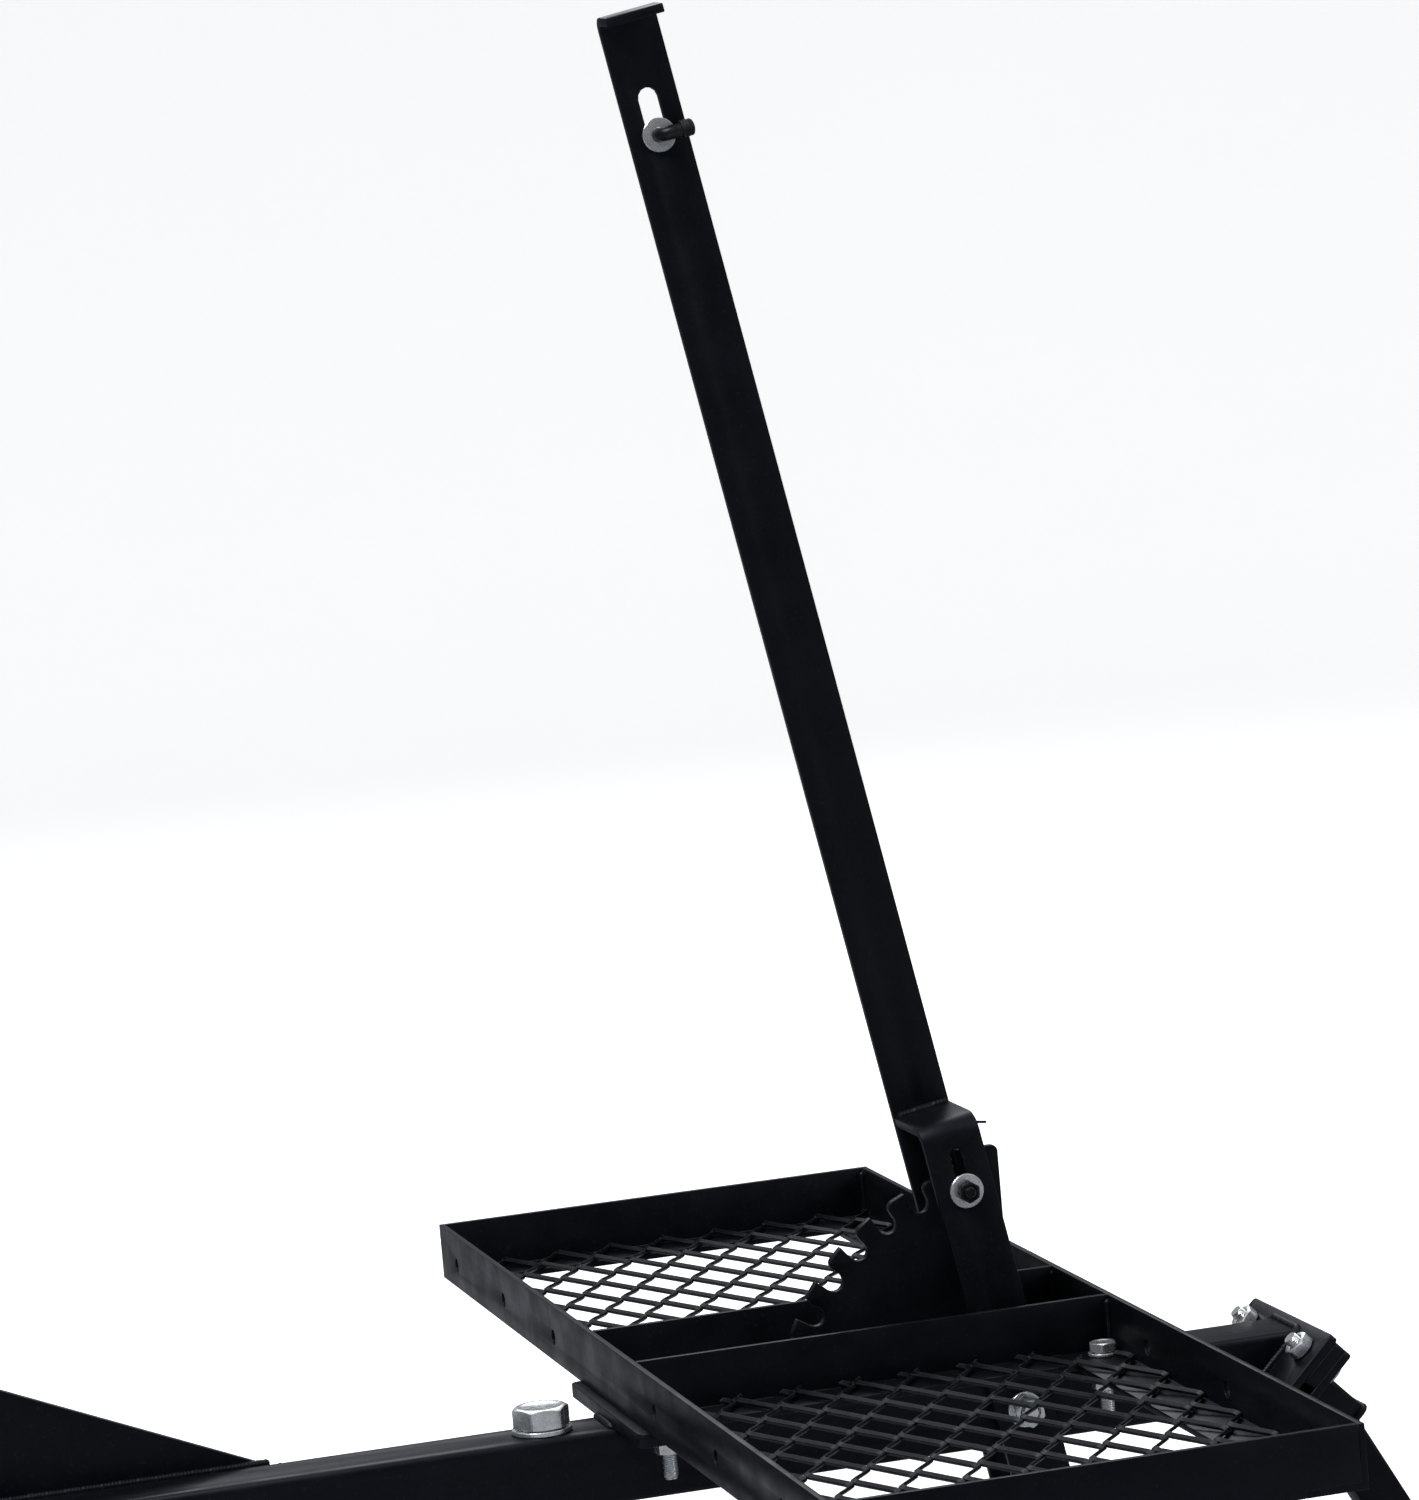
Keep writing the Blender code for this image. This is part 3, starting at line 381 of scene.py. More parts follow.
def close_rows(bm, rows, ends):
    """Faces between neighbouring rows, and over both ends where they are caps."""
    for lower, upper in zip(rows, rows[1:]):
        count = len(lower)
        for k in range(count):
            j = (k + 1) % count
            bm.faces.new((lower[k], lower[j], upper[j], upper[k]))
    if ends == "caps":
        bm.faces.new(rows[0])
        bm.faces.new(rows[-1])
    bmesh.ops.recalc_face_normals(bm, faces=bm.faces)
    return bm


def circle(radius, height):
    return lambda angle: (radius, height)


def hexagon(across, height, chamfer=0.0, turn=0.0):
    """A ring on a hexagon's walls. With a chamfer, the corners dip as a 30 degree cone cuts them."""
    half = across / 2

    def ring(angle):
        folded = (angle + turn + math.pi / 6) % (math.pi / 3) - math.pi / 6
        reach = half / math.cos(folded)
        dip = max(0.0, reach - half * 0.955) * math.tan(math.radians(30))
        return reach, height - chamfer * dip

    return ring


def thread_rings(major, pitch, low, high):
    """Rings of a screw thread between two heights, rising or falling, tapered at the far end."""
    depth = 0.61 * pitch
    count = max(2, round(abs(high - low) / (pitch / 6)))
    rings = []
    for i in range(count + 1):
        height = low + (high - low) * i / count
        fade = min(1.0, (count - i) / 5)

        def ring(angle, height=height, fade=fade):
            wave = (height / pitch - angle / (2 * math.pi)) % 1
            ridge = min(1.0, max(0.0, (0.5 - abs(wave - 0.5)) * 2.6 - 0.3))
            reach = major - depth * (1 - ridge)
            return reach - (1 - fade) * depth * 0.9, height

        rings.append(ring)
    return rings


# hexagon hardware: radius of the shank, width across flats, height of the head, pitch of the thread
M8 = (4 * MM, 13 * MM, 5.3 * MM, 1.25 * MM)
M10 = (5 * MM, 17 * MM, 6.5 * MM, 1.5 * MM)
M12 = (6 * MM, 19 * MM, 7.5 * MM, 1.75 * MM)
M22 = (11 * MM, 34 * MM, 14 * MM, 2.5 * MM)


def bolt(name, node, axis, size, threaded, turn=0.0):
    """A hex bolt whose head is at the upper end of the axis; the lower end is threaded."""
    shank, across, head, pitch = size
    low, high = span(node, axis)
    top = (high - low).length
    seat = top - head
    flat = across * 0.47
    rings = [circle(shank - 0.62 * pitch, 0)]
    rings += thread_rings(shank, pitch, threaded, 0.3 * MM)[::-1]
    rings += [circle(shank, threaded + 0.5 * MM), circle(shank, seat - 0.6 * MM),
              circle(shank + 0.6 * MM, seat), circle(flat, seat), circle(flat, seat + 0.4 * MM)]
    rings += [hexagon(across, seat + 0.4 * MM, -0.35, turn), hexagon(across, top - 0.1 * MM, 1.0, turn),
              circle(across * 0.475, top), circle(across * 0.40, top), circle(across * 0.36, top - 0.5 * MM)]
    bm, rows = turned(rings, low, axis)
    return stand_in(name, close_rows(bm, rows, "caps"), node)


def nut(name, node, axis, size, turn=0.0):
    """A hex nut, chamfered at both ends, with the mouth of its thread countersunk."""
    _, across, _, pitch = size
    low, high = span(node, axis)
    tall = (high - low).length
    hole = min((p - low - axis * (p - low).dot(axis)).length for p in vertices(node))
    rings = [circle(hole, tall - pitch * 0.6), circle(hole + 0.5 * pitch, tall), circle(across * 0.47, tall),
             hexagon(across, tall - 0.1 * MM, 1.0, turn), hexagon(across, 0.1 * MM, -1.0, turn),
             circle(across * 0.47, 0), circle(hole + 0.5 * pitch, 0), circle(hole, pitch * 0.6)]
    bm, rows = turned(rings, low, axis)
    rows.append(rows[0])
    return stand_in(name, close_rows(bm, rows, None), node)


def washer(name, node, axis):
    """A plain washer with its stamped edge rolled on one side."""
    low, high = span(node, axis)
    thick = (high - low).length
    reach = [(p - low - axis * (p - low).dot(axis)).length for p in vertices(node)]
    hole, outer = min(reach), max(reach)
    soft = 0.35 * MM
    rings = [circle(hole, 0), circle(outer - soft, 0), circle(outer, soft), circle(outer, thick - soft),
             circle(outer - soft, thick), circle(hole + soft, thick), circle(hole, thick - soft)]
    bm, rows = turned(rings, low, axis, 64)
    rows.append(rows[0])
    return stand_in(name, close_rows(bm, rows, None), node)


# ------------------------------------------------------------------- steel

def make_steel():
    """Plates, tubes and angles; each number is how far its edges are rolled over, in millimetres."""
    rolled = {
        "hitch_shank": 0.8, "hitch_riser": 0.8, "riser_gusset": 0.8, "main_tube": 0.8,
        "tray_rail_front": 0.7, "tray_rail_rear": 0.7, "tray_end_near": 0.7, "tray_end_far": 0.7,
        "tray_divider_near": 0.7, "tray_divider_far": 0.7, "mount_plate_front": 0.9,
        "mount_plate_rear": 0.9, "quadrant_plate": 0.5, "lever_bar": 0.7, "lever_strap": 0.7,
        "foot_tube": 0.6, "rod_guide": 0.4, "end_plate": 0.7, "rear_spacer": 0.7, "rear_flange": 0.7,
        "rear_stub": 0.7, "rear_leg": 0.6, "rear_foot": 0.7, "lift_eye": 0.5,
    }
    for node, width in rolled.items():
        stand_in(f"{node}_coated", softened(node, width * MM), node)


def make_hardware():
    bolt("tongue_bolt_zinc", "tongue_bolt", Z, M22, 28 * MM, 0.3)
    nut("tongue_nut_zinc", "tongue_nut", Z, M22, 0.5)
    washer("tongue_washer_zinc", "tongue_washer", Z)
    turn = 0.0
    for end in ("front", "rear"):
        for side in ("near", "far"):
            turn += 0.37
            where = f"{end}_{side}"
            bolt(f"mount_bolt_{where}_zinc", f"mount_bolt_{where}", Z, M10, 20 * MM, turn)
            nut(f"mount_nut_{where}_zinc", f"mount_nut_{where}", Z, M10, turn * 1.7)
            washer(f"mount_washer_{where}_zinc", f"mount_washer_{where}", Z)
    bolt("pivot_bolt_zinc", "pivot_bolt", Y, M12, 14 * MM, 0.1)
    nut("pivot_nut_zinc", "pivot_nut", Y, M12, 0.4)
    nut("latch_nut_black", "latch_nut", Y, M8, 0.2)
    for side in ("near", "far"):
        washer(f"pivot_washer_{side}_zinc", f"pivot_washer_{side}", Y)
        washer(f"latch_washer_{side}_zinc", f"latch_washer_{side}", Y)
        bolt(f"rear_bolt_{side}_zinc", f"rear_bolt_{side}", REAR_OUT, M10, 15 * MM, 0.25)
        nut(f"rear_nut_{side}_zinc", f"rear_nut_{side}", REAR_OUT, M10, 0.6 if side == "near" else 0.1)
    washer("grip_washer_zinc", "grip_washer", Y)
    washer("pivot_sleeve_zinc", "pivot_sleeve", Y)


# ------------------------------------------------------------ round bars

ROD = 4.75 * MM                   # radius of the lift rod
ROD_Y = 37.1 * MM
FINGER_Y = 14 * MM                # from the middle to the finger that the rod ends in
GRIP_HEIGHT = 877.6 * MM          # heights are along the lever, from the pivot
GRIP_REACH = 18.6 * MM
LATCH_HEIGHT = 154.6 * MM
WEB_HEIGHT = 203 * MM             # top of the strap's web
WEB_THICK = 6 * MM
BAR_HALF = 20 * MM                # half the lever's width
ROLLER = 6 * MM                   # radius of the latch bolt's roller
ROLLER_HALF = 25.7 * MM
GAP = 0.3 * MM


def make_lift_rod():
    """A rod with true bends, from the eye at the latch to the finger grip."""
    bend = 9 * MM
    start, _ = span("lift_rod", UP_LEVER)
    low = (start - PIVOT).dot(UP_LEVER)
    points = []
    straight, curved = 120, 12
    for i in range(straight):
        points.append(on_lever(low + (GRIP_HEIGHT - bend - low) * i / straight, 0, ROD_Y))
    for i in range(curved + 1):
        turn = math.pi / 2 * i / curved
        points.append(on_lever(GRIP_HEIGHT - bend + bend * math.sin(turn), 0,
                               ROD_Y - bend * (1 - math.cos(turn))))
    elbow = 7 * MM
    for i in range(1, curved + 1):
        turn = math.pi / 2 * i / curved
        points.append(on_lever(GRIP_HEIGHT, elbow * (1 - math.cos(turn)),
                               FINGER_Y + elbow - elbow * math.sin(turn)))
    points.append(on_lever(GRIP_HEIGHT, GRIP_REACH, FINGER_Y))
    stand_in("lift_rod_round", sweep(points, ROD, 24), "lift_rod")

    # a dipped cap: a rolled lip, three grip rings and a rounded nose
    low, high = span("grip_sleeve", ACROSS_LEVER)
    long = (high - low).length
    cap, nose = 5.75 * MM, 2.6 * MM
    rings = [circle(ROD + GAP, long * 0.3), circle(ROD + GAP, 0.4 * MM), circle(5.5 * MM, 0)]
    for i in range(33):
        share = i / 32
        height = 0.4 * MM + share * (long - 3 * MM)
        lip = 0.5 * MM * max(0.0, 1 - abs(share - 0.06) / 0.1)
        groove = 0.28 * MM * max(0.0, math.cos(2 * math.pi * share * 3.5)) * (0.15 < share < 0.9)
        rings.append(circle(cap + lip - groove, height))
    for i in range(1, 9):
        turn = math.pi / 2 * i / 8
        rings.append(circle(max(0.2 * MM, cap * math.cos(turn)), long - nose + nose * math.sin(turn)))
    bm, rows = turned(rings, low, ACROSS_LEVER, 32)
    stand_in("grip_cap_dipped", close_rows(bm, rows, "caps"), "grip_sleeve")


def make_spring():
    """The latch spring, wound close at both ends, whose tail slopes out past the strap."""
    wire = 0.9 * MM
    coil = 7 * MM
    middle_y = 14.5 * MM
    tail, slope = 36, 0.33
    low = LATCH_HEIGHT + ROLLER + wire + GAP
    high = WEB_HEIGHT - WEB_THICK - wire - GAP
    turns = 5
    steps = 40
    points = []
    for i in range(turns * steps + 1):
        share = i / (turns * steps)
        angle = 2 * math.pi * turns * share
        even = share - math.sin(2 * math.pi * share) * 0.07
        points.append(on_lever(low + (high - low) * even, coil * math.sin(angle),
                               middle_y - coil * math.cos(angle)))
    for i in range(1, tail + 1):
        points.append(on_lever(high - slope * max(0, i - 4) * MM, i * MM, middle_y - coil))
    spring = stand_in("latch_spring_wound", sweep(points, wire, 10), "latch_spring")
    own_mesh(spring)


def make_latch_pin():
    """The latch bolt: a rolled thread at the near end, its roller between the legs, a hex head behind."""
    low, high = span("latch_pin", Y)
    tall = (high - low).length
    shank, across, head, pitch = M8
    seat = tall - head
    start = -low.y - ROLLER_HALF
    end = start + 2 * ROLLER_HALF
    edge = 0.4 * MM
    rings = [circle(shank - 0.62 * pitch, 0)]
    rings += thread_rings(shank, pitch, 12 * MM, 0.3 * MM)[::-1]
    rings += [circle(shank, 12.5 * MM), circle(shank, start), circle(ROLLER - edge, start),
              circle(ROLLER, start + edge), circle(ROLLER, end - edge),
              circle(ROLLER - edge, end), circle(shank, end)]
    rings += [circle(shank, seat), circle(across * 0.47, seat), circle(across * 0.47, seat + 0.3 * MM),
              hexagon(across, seat + 0.3 * MM, -0.35, 0.3), hexagon(across, tall - 0.1 * MM, 1.0, 0.3),
              circle(across * 0.475, tall), circle(across * 0.4, tall),
              circle(across * 0.36, tall - 0.4 * MM)]
    bm, rows = turned(rings, low, Y)
    stand_in("latch_pin_black", close_rows(bm, rows, "caps"), "latch_pin")


def make_hitch_pin():
    """The hitch pin: a domed head, a groove for the clip and a tapered lead-in."""
    low, high = span("hitch_pin", Y)
    tall = (high - low).length
    reach = [Vector((p.x - low.x, p.z - low.z)).length for p in vertices("hitch_pin")]
    head = max(reach)
    shank = 8 * MM
    rings = []
    for i in range(9):
        turn = math.pi / 2 * i / 8
        rings.append(circle(max(0.3 * MM, (head - 0.1 * MM) * math.sin(turn) ** 0.8),
                            1.8 * MM * (1 - math.cos(turn))))
    rings += [circle(head, 2.4 * MM), circle(head, 6.2 * MM), circle(head - 0.8 * MM, 7 * MM),
              circle(shank + 0.8 * MM, 7 * MM), circle(shank, 7.8 * MM)]
    rings += [circle(shank, tall - 14.8 * MM), circle(shank - 0.9 * MM, tall - 14.4 * MM),
              circle(shank - 0.9 * MM, tall - 12.6 * MM), circle(shank, tall - 12.2 * MM)]
    for i in range(9):
        share = i / 8
        rings.append(circle(shank - 3.2 * MM * share ** 1.6, tall - 6.5 * MM + 6.2 * MM * share))
    rings += [circle(4.4 * MM, tall), circle(0.5 * MM, tall)]
    bm, rows = turned(rings, low, Y, 48)
    stand_in("hitch_pin_turned", close_rows(bm, rows, "caps"), "hitch_pin")


def make_hitch_clip():
    """A spring-wire clip: a straight leg beside the pin's groove, and a bowed leg outside it."""
    low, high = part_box("hitch_clip")
    wire = 1.5 * MM
    bend = 7 * MM
    x = (low.x + high.x) / 2
    y = low.y + wire
    z = high.z - wire - bend - 22 * MM
    bow = 18.5 * MM
    points = [Vector((x, y, z - 16 * MM)), Vector((x, y, z)), Vector((x, y, z + 20 * MM))]
    for i in range(0, 9):
        turn = math.pi * i / 8
        points.append(Vector((x, y + bend * (1 - math.cos(turn)), z + 22 * MM + bend * math.sin(turn))))
    for out, rise in ((bow - 3 * MM, 10 * MM), (bow, 0), (bow - 3 * MM, -10 * MM), (bow, -18 * MM)):
        points.append(Vector((x, y + out, z + rise)))
    stand_in("hitch_clip_wire", sweep(smooth_path(points, MM), wire, 14), "hitch_clip")


# --------------------------------------------------------- expanded metal

SHORT_WAY = 40.5 * MM
LONG_WAY = 67 * MM
BOND_ROW = 238 * MM               # one row of bonds, from the middle of the tray
BOND_HALF = 4.5 * MM
STRAND = 4.0 * MM
STRAND_THICK = 2.5 * MM
STRAND_TILT = math.radians(30)
NOTCH_X = 136 * MM                # the sheet starts at NOTCH_Y beyond here, to clear the mount bolts
NOTCH_Y = 91 * MM


def make_mesh_panel(name):
    """Expanded metal: wavy tilted strands that meet side by side at their bonds."""
    low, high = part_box(name)
    side = 1 if low.y + high.y > 0 else -1
    near, far = sorted((abs(low.y), abs(high.y)))
    across = Vector((math.cos(STRAND_TILT), 0, math.sin(STRAND_TILT)))
    over = Vector((-math.sin(STRAND_TILT), 0, math.cos(STRAND_TILT)))
    rise = STRAND * math.sin(STRAND_TILT) / 2
    base = low.z + rise * 2 + STRAND_THICK * math.cos(STRAND_TILT) / 2
    soft = 0.45 * MM
    half, thick = STRAND / 2, STRAND_THICK / 2
    section = [(half, thick - soft), (half - soft, thick), (soft - half, thick), (-half, thick - soft),
               (-half, soft - thick), (soft - half, -thick), (half - soft, -thick), (half, soft - thick)]
    swing = SHORT_WAY / 4 - half * math.cos(STRAND_TILT) * 0.94
    total = bmesh.new()
    columns = int((high.x - low.x) / SHORT_WAY) + 2
    for column in range(-2 * columns, 2 * columns):
        middle = (column + 0.5) * SHORT_WAY / 2
        if not low.x - TRAY_X - SHORT_WAY / 4 < middle < high.x - TRAY_X + SHORT_WAY / 4:
            continue
        start = near
        if abs(middle) + SHORT_WAY / 4 > NOTCH_X:
            start = NOTCH_Y
        path = []
        for row in range(-8, 10):
            peak = 1 if (row + column) % 2 else -1
            y = BOND_ROW + row * LONG_WAY / 2
            for shift in (-BOND_HALF, -BOND_HALF * 0.5, BOND_HALF * 0.5, BOND_HALF):
                share = 1 if abs(shift) < BOND_HALF else 0.93
                path.append((middle + peak * swing * share, y + shift, -peak * rise * share))
        bm = bmesh.new()
        rows = []
        for x, y, z in path:
            center = Vector((TRAY_X + x, side * y, base + z))
            rows.append([bm.verts.new(center + across * u + over * v) for u, v in section])
        close_rows(bm, rows, "caps")
        cuts = [((0, side * start, 0), (0, -side, 0)), ((0, side * far, 0), (0, side, 0)),
                (low, (-1, 0, 0)), (high, (1, 0, 0))]
        for place, outward in cuts:
            geometry = bm.verts[:] + bm.edges[:] + bm.faces[:]
            cut = bmesh.ops.bisect_plane(bm, geom=geometry, dist=1e-6, plane_co=place, plane_no=outward,
                                         clear_outer=True)
            rim = [e for e in cut["geom_cut"] if isinstance(e, bmesh.types.BMEdge)]
            if rim:
                bmesh.ops.holes_fill(bm, edges=rim)
        if bm.faces:
            mesh = bpy.data.meshes.new("strand")
            bm.to_mesh(mesh)
            total.from_mesh(mesh)
            bpy.data.meshes.remove(mesh)
        bm.free()
    bmesh.ops.recalc_face_normals(total, faces=total.faces)
    stand_in(f"{name}_expanded", total, name)


# ------------------------------------------------------------------ welds

ANGLE_THICK = 4 * MM


def rim(node, direction):
    """The outer outline of a node's flat end that faces a direction."""
    bm = bmesh.new()
    bm.from_mesh(frame["nodes"][node].data)
    bmesh.ops.remove_doubles(bm, verts=bm.verts, dist=1e-6)
    bm.normal_update()
    reach = max(v.co.dot(direction) for v in bm.verts)
    ends = {f for f in bm.faces if f.normal.dot(direction) > 0.999
            and abs(f.calc_center_median().dot(direction) - reach) < 0.2 * MM}
    edges = {e for f in ends for e in f.edges if sum(g in ends for g in e.link_faces) == 1}
    loops = []
    while edges:
        edge = edges.pop()
        loop = [edge.verts[0], edge.verts[1]]
        while True:
            step = next((e for e in loop[-1].link_edges if e in edges), None)
            if step is None:
                break
            edges.discard(step)
            loop.append(step.other_vert(loop[-1]))
        loops.append([v.co.copy() for v in loop])
    bm.free()

    def length(points):
        return sum((b - a).length for a, b in zip(points, points[1:]))

    return max(loops, key=length)


def even(points, step):
    """The same line with points a step apart."""
    out = [points[0]]
    for a, b in zip(points, points[1:]):
        count = max(1, round((b - a).length / step))
        out += [a.lerp(b, i / count) for i in range(1, count + 1)]
    return out


def relaxed(points, rounds):
    """A closed line with its corners eased."""
    for _ in range(rounds):
        kept = list(points)
        for i in range(len(points)):
            before = kept[i - 1]
            after = kept[(i + 1) % len(points)]
            points[i] = (before + kept[i] * 2 + after) / 4
    return points


def bead(points, radius, seed, closed):
    """A weld bead along a line, with the overlapping ripples that a welder leaves."""
    if closed:
        points = points[:-1] if (points[0] - points[-1]).length < 1e-6 else points
        points = points + [points[0]]
    step = 0.75 * MM
    line = even(points, step)
    if closed:
        line = relaxed(line[:-1], 3)
        line.append(line[0])
    pitch = 2.4 * MM
    total = step * len(line)

    def reach(travelled):
        ripple = (travelled / pitch) % 1
        size = radius * (0.9 + 0.14 * ripple ** 0.6)
        size += radius * 0.14 * noise.noise(Vector((travelled * 90, seed * 7.3, 0)))
        if not closed:
            ends = min(travelled, total - travelled) / (2.2 * MM)
            size *= min(1.0, 0.35 + 0.65 * max(0.0, ends))
        return size

    return sweep(line, reach, 10, caps=not closed)


def weld(name, body, runs, radius):
    """One piece that holds the beads between two parts; a run is (points, closed)."""
    total = bmesh.new()
    for number, (points, closed) in enumerate(runs):
        bm = bead([Vector(p) for p in points], radius, number + len(name), closed)
        mesh = bpy.data.meshes.new("bead")
        bm.to_mesh(mesh)
        bm.free()
        total.from_mesh(mesh)
        bpy.data.meshes.remove(mesh)
    piece(name, total, body, "powder_coat")


def make_carrier_welds():
    low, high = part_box("quadrant_plate")
    foot = [p.x for p in vertices("quadrant_plate") if p.z < TUBE_TOP + 2 * MM]
    runs = []
    for y in (low.y, high.y):
        runs.append(([(min(foot) + 3 * MM, y, TUBE_TOP), (max(foot) - 3 * MM, y, TUBE_TOP)], False))
    weld("quadrant_weld", "carrier", runs, 3.2 * MM)

    runs = []
    for node in ("mount_plate_front", "mount_plate_rear"):
        low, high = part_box(node)
        for x in (low.x, high.x):
            runs.append(([(x, -21 * MM, TUBE_TOP + 0.5 * MM), (x, 21 * MM, TUBE_TOP + 0.5 * MM)], False))
    weld("mount_plate_weld", "carrier", runs, 3 * MM)

    runs = []
    inner = []
    for node, face in (("tray_rail_front", 1), ("tray_rail_rear", -1)):
        low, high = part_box(node)
        wall = low.x + ANGLE_THICK if face > 0 else high.x - ANGLE_THICK
        inner.append((wall, face))
    base, top = RAIL_LOW.z + ANGLE_THICK, RAIL_HIGH.z
    for node in ("tray_end_near", "tray_end_far", "tray_divider_near", "tray_divider_far"):
        low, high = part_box(node)
        side = 1 if low.y + high.y > 0 else -1
        if "end" in node:
            places = [side * (max(abs(low.y), abs(high.y)) - ANGLE_THICK)]
        else:
            near = side * min(abs(low.y), abs(high.y))
            places = [near, near + side * ANGLE_THICK]
        for y in places:
            for wall, face in inner:
                x = wall + face * 0.6 * MM
                runs.append(([(x, y, base + 1.5 * MM), (x, y, top - 3 * MM)], False))
    weld("tray_corner_weld", "carrier", runs, 2.4 * MM)

    runs = []
    for node, direction in (("hitch_shank", X), ("main_tube", -X)):
        runs.append((rim(node, direction), True))
    weld("riser_weld", "carrier", runs, 2.6 * MM)

    low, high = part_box("riser_gusset")
    y = low.y
    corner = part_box("hitch_riser")[1].x
    gusset_runs = [([(low.x + 8 * MM, y, low.z), (high.x - 8 * MM, y, low.z)], False),
                   ([(low.x, y, low.z + 8 * MM), (low.x, y, high.z - 8 * MM)], False)]
    slope_start = Vector((corner + 4 * MM, y, high.z - 2 * MM))
    slope_end = Vector((high.x - 4 * MM, y, low.z + 3 * MM))
    reach = (TUBE_TOP - slope_start.z) / (slope_end.z - slope_start.z)
    on_tube = slope_start.lerp(slope_end, reach + 0.02)
    gusset_runs.append(([on_tube, slope_end], False))
    gusset_runs.append(([(low.x + 4 * MM, y, high.z), (corner - 2 * MM, y, high.z)], False))
    gusset_runs.append(([(corner + 2 * MM, low.y, TUBE_TOP), (on_tube.x - 4 * MM, low.y, TUBE_TOP)], False))
    weld("gusset_weld", "carrier", gusset_runs, 2.8 * MM)

    weld("end_plate_weld", "carrier", [(rim("main_tube", REAR_OUT), True)], 3 * MM)
    weld("stub_weld", "carrier", [(rim("rear_stub", -REAR_OUT), True)], 2.6 * MM)
    weld("leg_weld", "carrier", [(rim("rear_stub", REAR_OUT), True)], 2.2 * MM)
    weld("foot_weld", "carrier", [(rim("rear_leg", -Z), True)], 2.2 * MM)


def ring_line(center, axis, radius):
    """Points round a circle."""
    side = axis.orthogonal().normalized()
    other = axis.cross(side)
    turns = [2 * math.pi * i / 60 for i in range(60)]
    return [center + (side * math.cos(turn) + other * math.sin(turn)) * radius for turn in turns]


def make_lever_welds():
    leg_inside = 25.8 * MM
    runs = []
    for height in (WEB_HEIGHT, WEB_HEIGHT - WEB_THICK):
        edge = BAR_HALF - 1.5 * MM
        runs.append(([on_lever(height, -edge, leg_inside), on_lever(height, edge, leg_inside)], False))
    weld("strap_weld", "lever", runs, 3.4 * MM)

    low, high = span("foot_tube", Y)
    runs = []
    for y in (-32 * MM, -26 * MM, 26 * MM, 32 * MM):
        runs.append((ring_line(Vector((low.x, y, low.z)), Y, 15 * MM), True))
    weld("foot_tube_weld", "lever", runs, 2.4 * MM)

    low, high = span("rod_guide", UP_LEVER)
    runs = []
    for end in (low, high):
        height = (end - PIVOT).dot(UP_LEVER)
        for side in (-1, 1):
            ends = [on_lever(height, side * reach, 32.2 * MM) for reach in (6.2 * MM, 10.6 * MM)]
            runs.append((ends, False))
    weld("rod_guide_weld", "lever", runs, 1.6 * MM)

    start, _ = span("lift_rod", UP_LEVER)
    height = (start - PIVOT).dot(UP_LEVER)
    foot = on_lever(height, 0, ROD_Y)
    collar = [foot + (ACROSS_LEVER * math.cos(turn) * (ROD + 0.6 * MM) + Y * math.sin(turn) * 3 * MM)
              for turn in (2 * math.pi * i / 40 for i in range(40))]
    piece("lift_rod_weld", bead(collar, 1.4 * MM, 3, True), "latch", "black_steel")


# ------------------------------------------------------------ camera, light

def make_camera():
    focal = 5900 / 1500               # in heights of the picture
    place = Vector((TRAY_X - 1.0382, -3.7257, TUBE_TOP + 0.8475))
    yaw, down, roll = (math.radians(a) for a in (14.695, 6.11, -5.088))
    forward = Vector((math.sin(yaw) * math.cos(down), math.cos(yaw) * math.cos(down), -math.sin(down)))
    right = Vector((math.cos(yaw), -math.sin(yaw), 0))
    up = right.cross(forward)
    turned_right = right * math.cos(roll) + up * math.sin(roll)
    turned_up = up * math.cos(roll) - right * math.sin(roll)
    data = bpy.data.cameras.new("camera")
    data.sensor_width = 36
    data.lens = 36 * focal
    data.clip_end = 100
    camera = bpy.data.objects.new("camera", data)
    camera.matrix_world = Matrix((
        (turned_right.x, turned_up.x, -forward.x, place.x),
        (turned_right.y, turned_up.y, -forward.y, place.y),
        (turned_right.z, turned_up.z, -forward.z, place.z),
        (0, 0, 0, 1)))
    bpy.context.scene.collection.objects.link(camera)
    bpy.context.scene.camera = camera


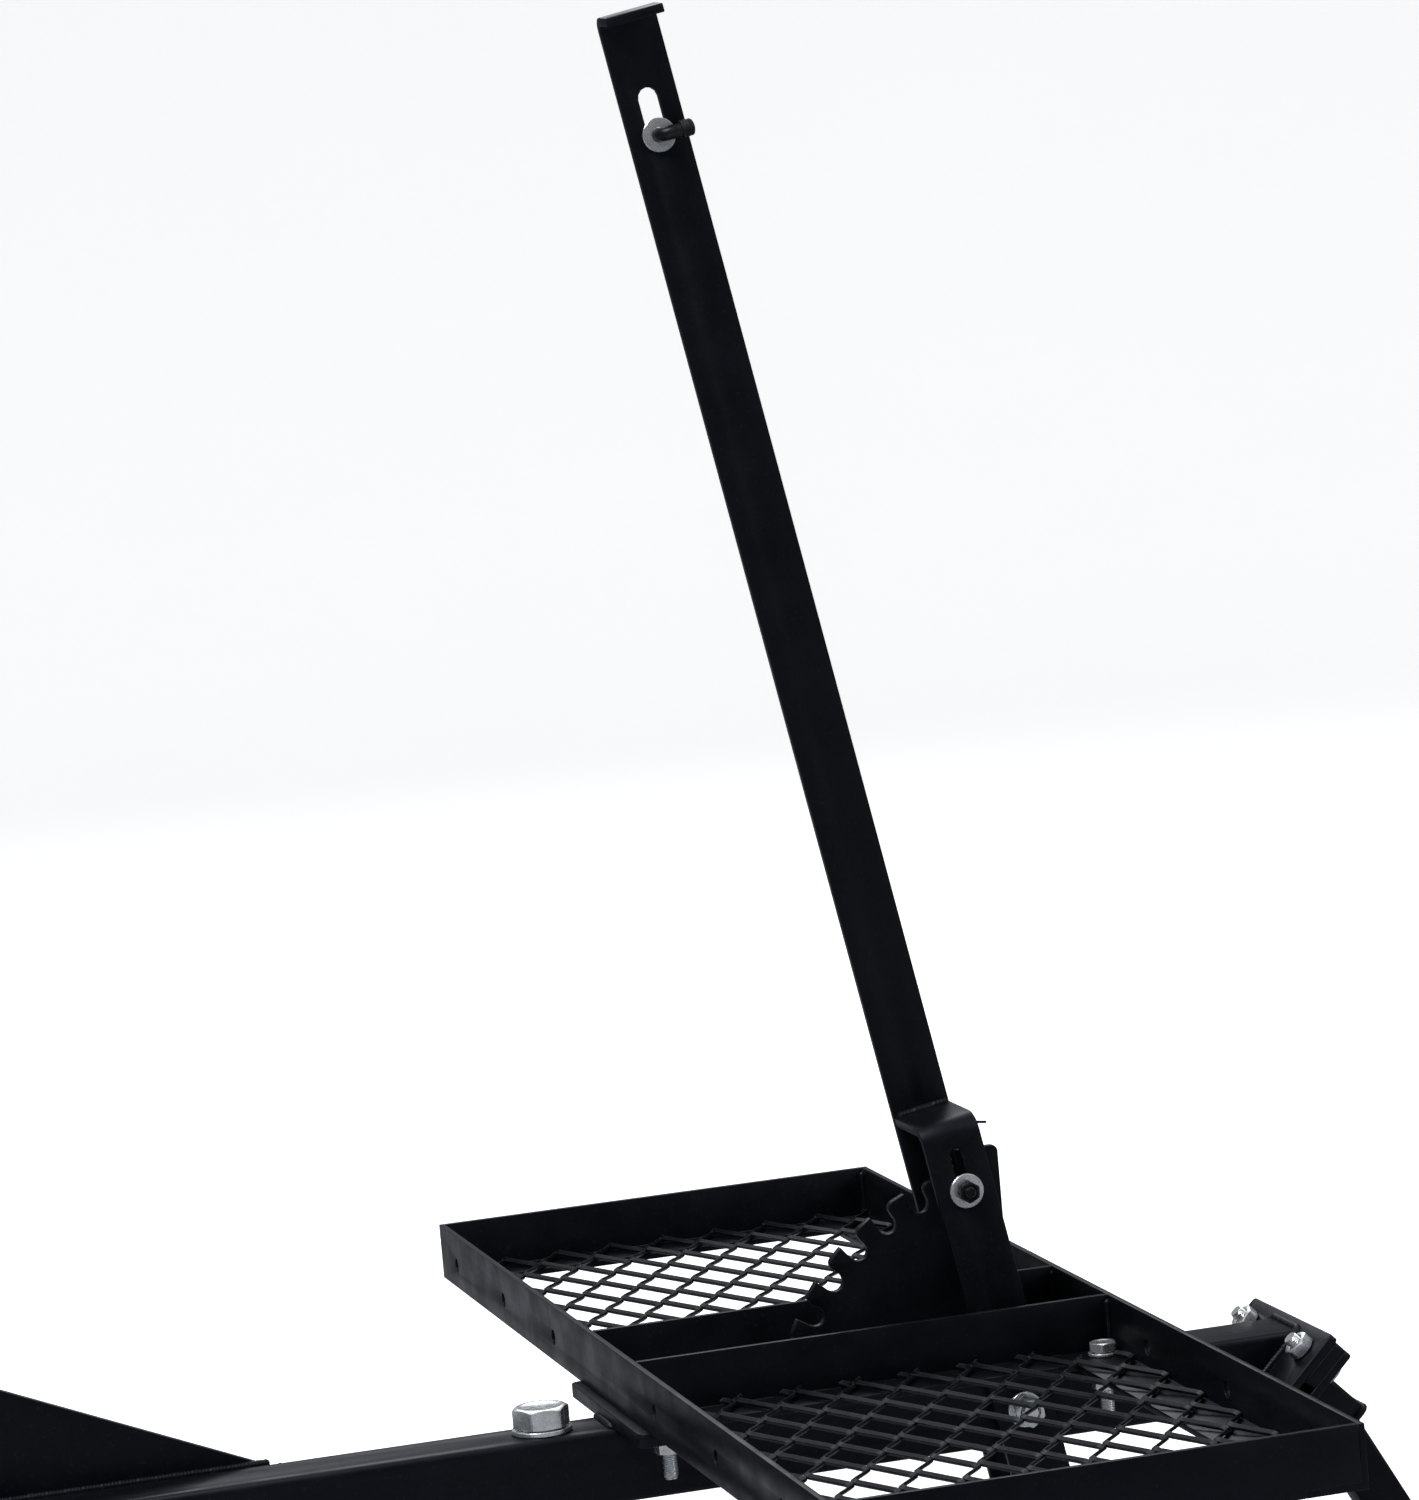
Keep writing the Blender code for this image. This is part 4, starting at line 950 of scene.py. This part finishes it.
def make_floor():
    """A wide pale floor that curves up into a backdrop all round. It is white to the eye, and darker in
    what the steel mirrors and what light it gives back, as in a room behind a cut-out background."""
    m = Nodes("studio_white")
    seen = m.add("ShaderNodeLightPath").outputs["Is Camera Ray"]
    paper = m.mix(m.noise(3, 2), (0.93, 0.93, 0.93), (0.95, 0.95, 0.95))
    m.link(m.mix(seen, (0.34, 0.35, 0.37), paper), m.shader.inputs["Base Color"])
    m.shader.inputs["Roughness"].default_value = 0.9
    m.shader.inputs["Specular IOR Level"].default_value = 0.0
    m.shader.inputs["Emission Color"].default_value = (1, 1, 1, 1)
    m.link(m.math("MULTIPLY", seen, 0.52), m.shader.inputs["Emission Strength"])
    bottom = cad_box[0].z - 0.5 * MM
    flat, curve, tall = 6.0, 3.0, 7.0
    sides = 64
    bm = bmesh.new()
    rows = []
    profile = [(flat * i / 6, 0) for i in range(1, 7)]
    for i in range(1, 13):
        angle = math.pi / 2 * i / 12
        profile.append((flat + curve * math.sin(angle), curve * (1 - math.cos(angle))))
    profile.append((flat + curve, tall))
    for reach, height in profile:
        rows.append([bm.verts.new((TRAY_X + reach * math.cos(2 * math.pi * k / sides),
                                   reach * math.sin(2 * math.pi * k / sides), bottom + height))
                     for k in range(sides)])
    bm.faces.new(rows[0])
    for lower, upper in zip(rows, rows[1:]):
        for k in range(sides):
            j = (k + 1) % sides
            bm.faces.new((lower[k], upper[k], upper[j], lower[j]))
    mesh = bpy.data.meshes.new("studio_floor")
    bm.to_mesh(mesh)
    bm.free()
    mesh.shade_smooth()
    mesh.materials.append(m.material)
    floor = bpy.data.objects.new("studio_floor", mesh)
    bpy.context.scene.collection.objects.link(floor)


def make_lights():
    scene = bpy.context.scene
    scene.view_settings.view_transform = "Standard"
    world = bpy.data.worlds.new("studio")
    world.use_nodes = True
    world.node_tree.nodes["Background"].inputs["Color"].default_value = (1, 1, 1, 1)
    world.node_tree.nodes["Background"].inputs["Strength"].default_value = 0.6
    scene.world = world
    target = Vector((TRAY_X, 0, TUBE_TOP + 0.2))
    lights = (("key", (-2.2, -1.2, 3.4), 1.6, 150),
              ("fill", (3.2, -2.0, 2.2), 2.2, 50),
              ("back", (0.4, 3.4, 2.8), 2.6, 55))
    for name, place, size, power in lights:
        data = bpy.data.lights.new(name, "AREA")
        data.size = size
        data.energy = power
        data.color = (0.92, 0.95, 1)
        light = bpy.data.objects.new(name, data)
        light.location = target + Vector(place)
        light.rotation_euler = (-Vector(place)).to_track_quat("-Z", "Y").to_euler()
        scene.collection.objects.link(light)


make_camera()
make_steel()
make_hardware()
make_latch_pin()
make_lift_rod()
make_spring()
make_hitch_pin()
make_hitch_clip()
make_mesh_panel("mesh_panel_near")
make_mesh_panel("mesh_panel_far")
make_carrier_welds()
make_lever_welds()
for node, obj in frame["nodes"].items():
    if not obj.hide_render:
        obj.data.materials.clear()
        obj.data.materials.append(MATERIALS[SLOT_OF[node]])
make_floor()
make_lights()
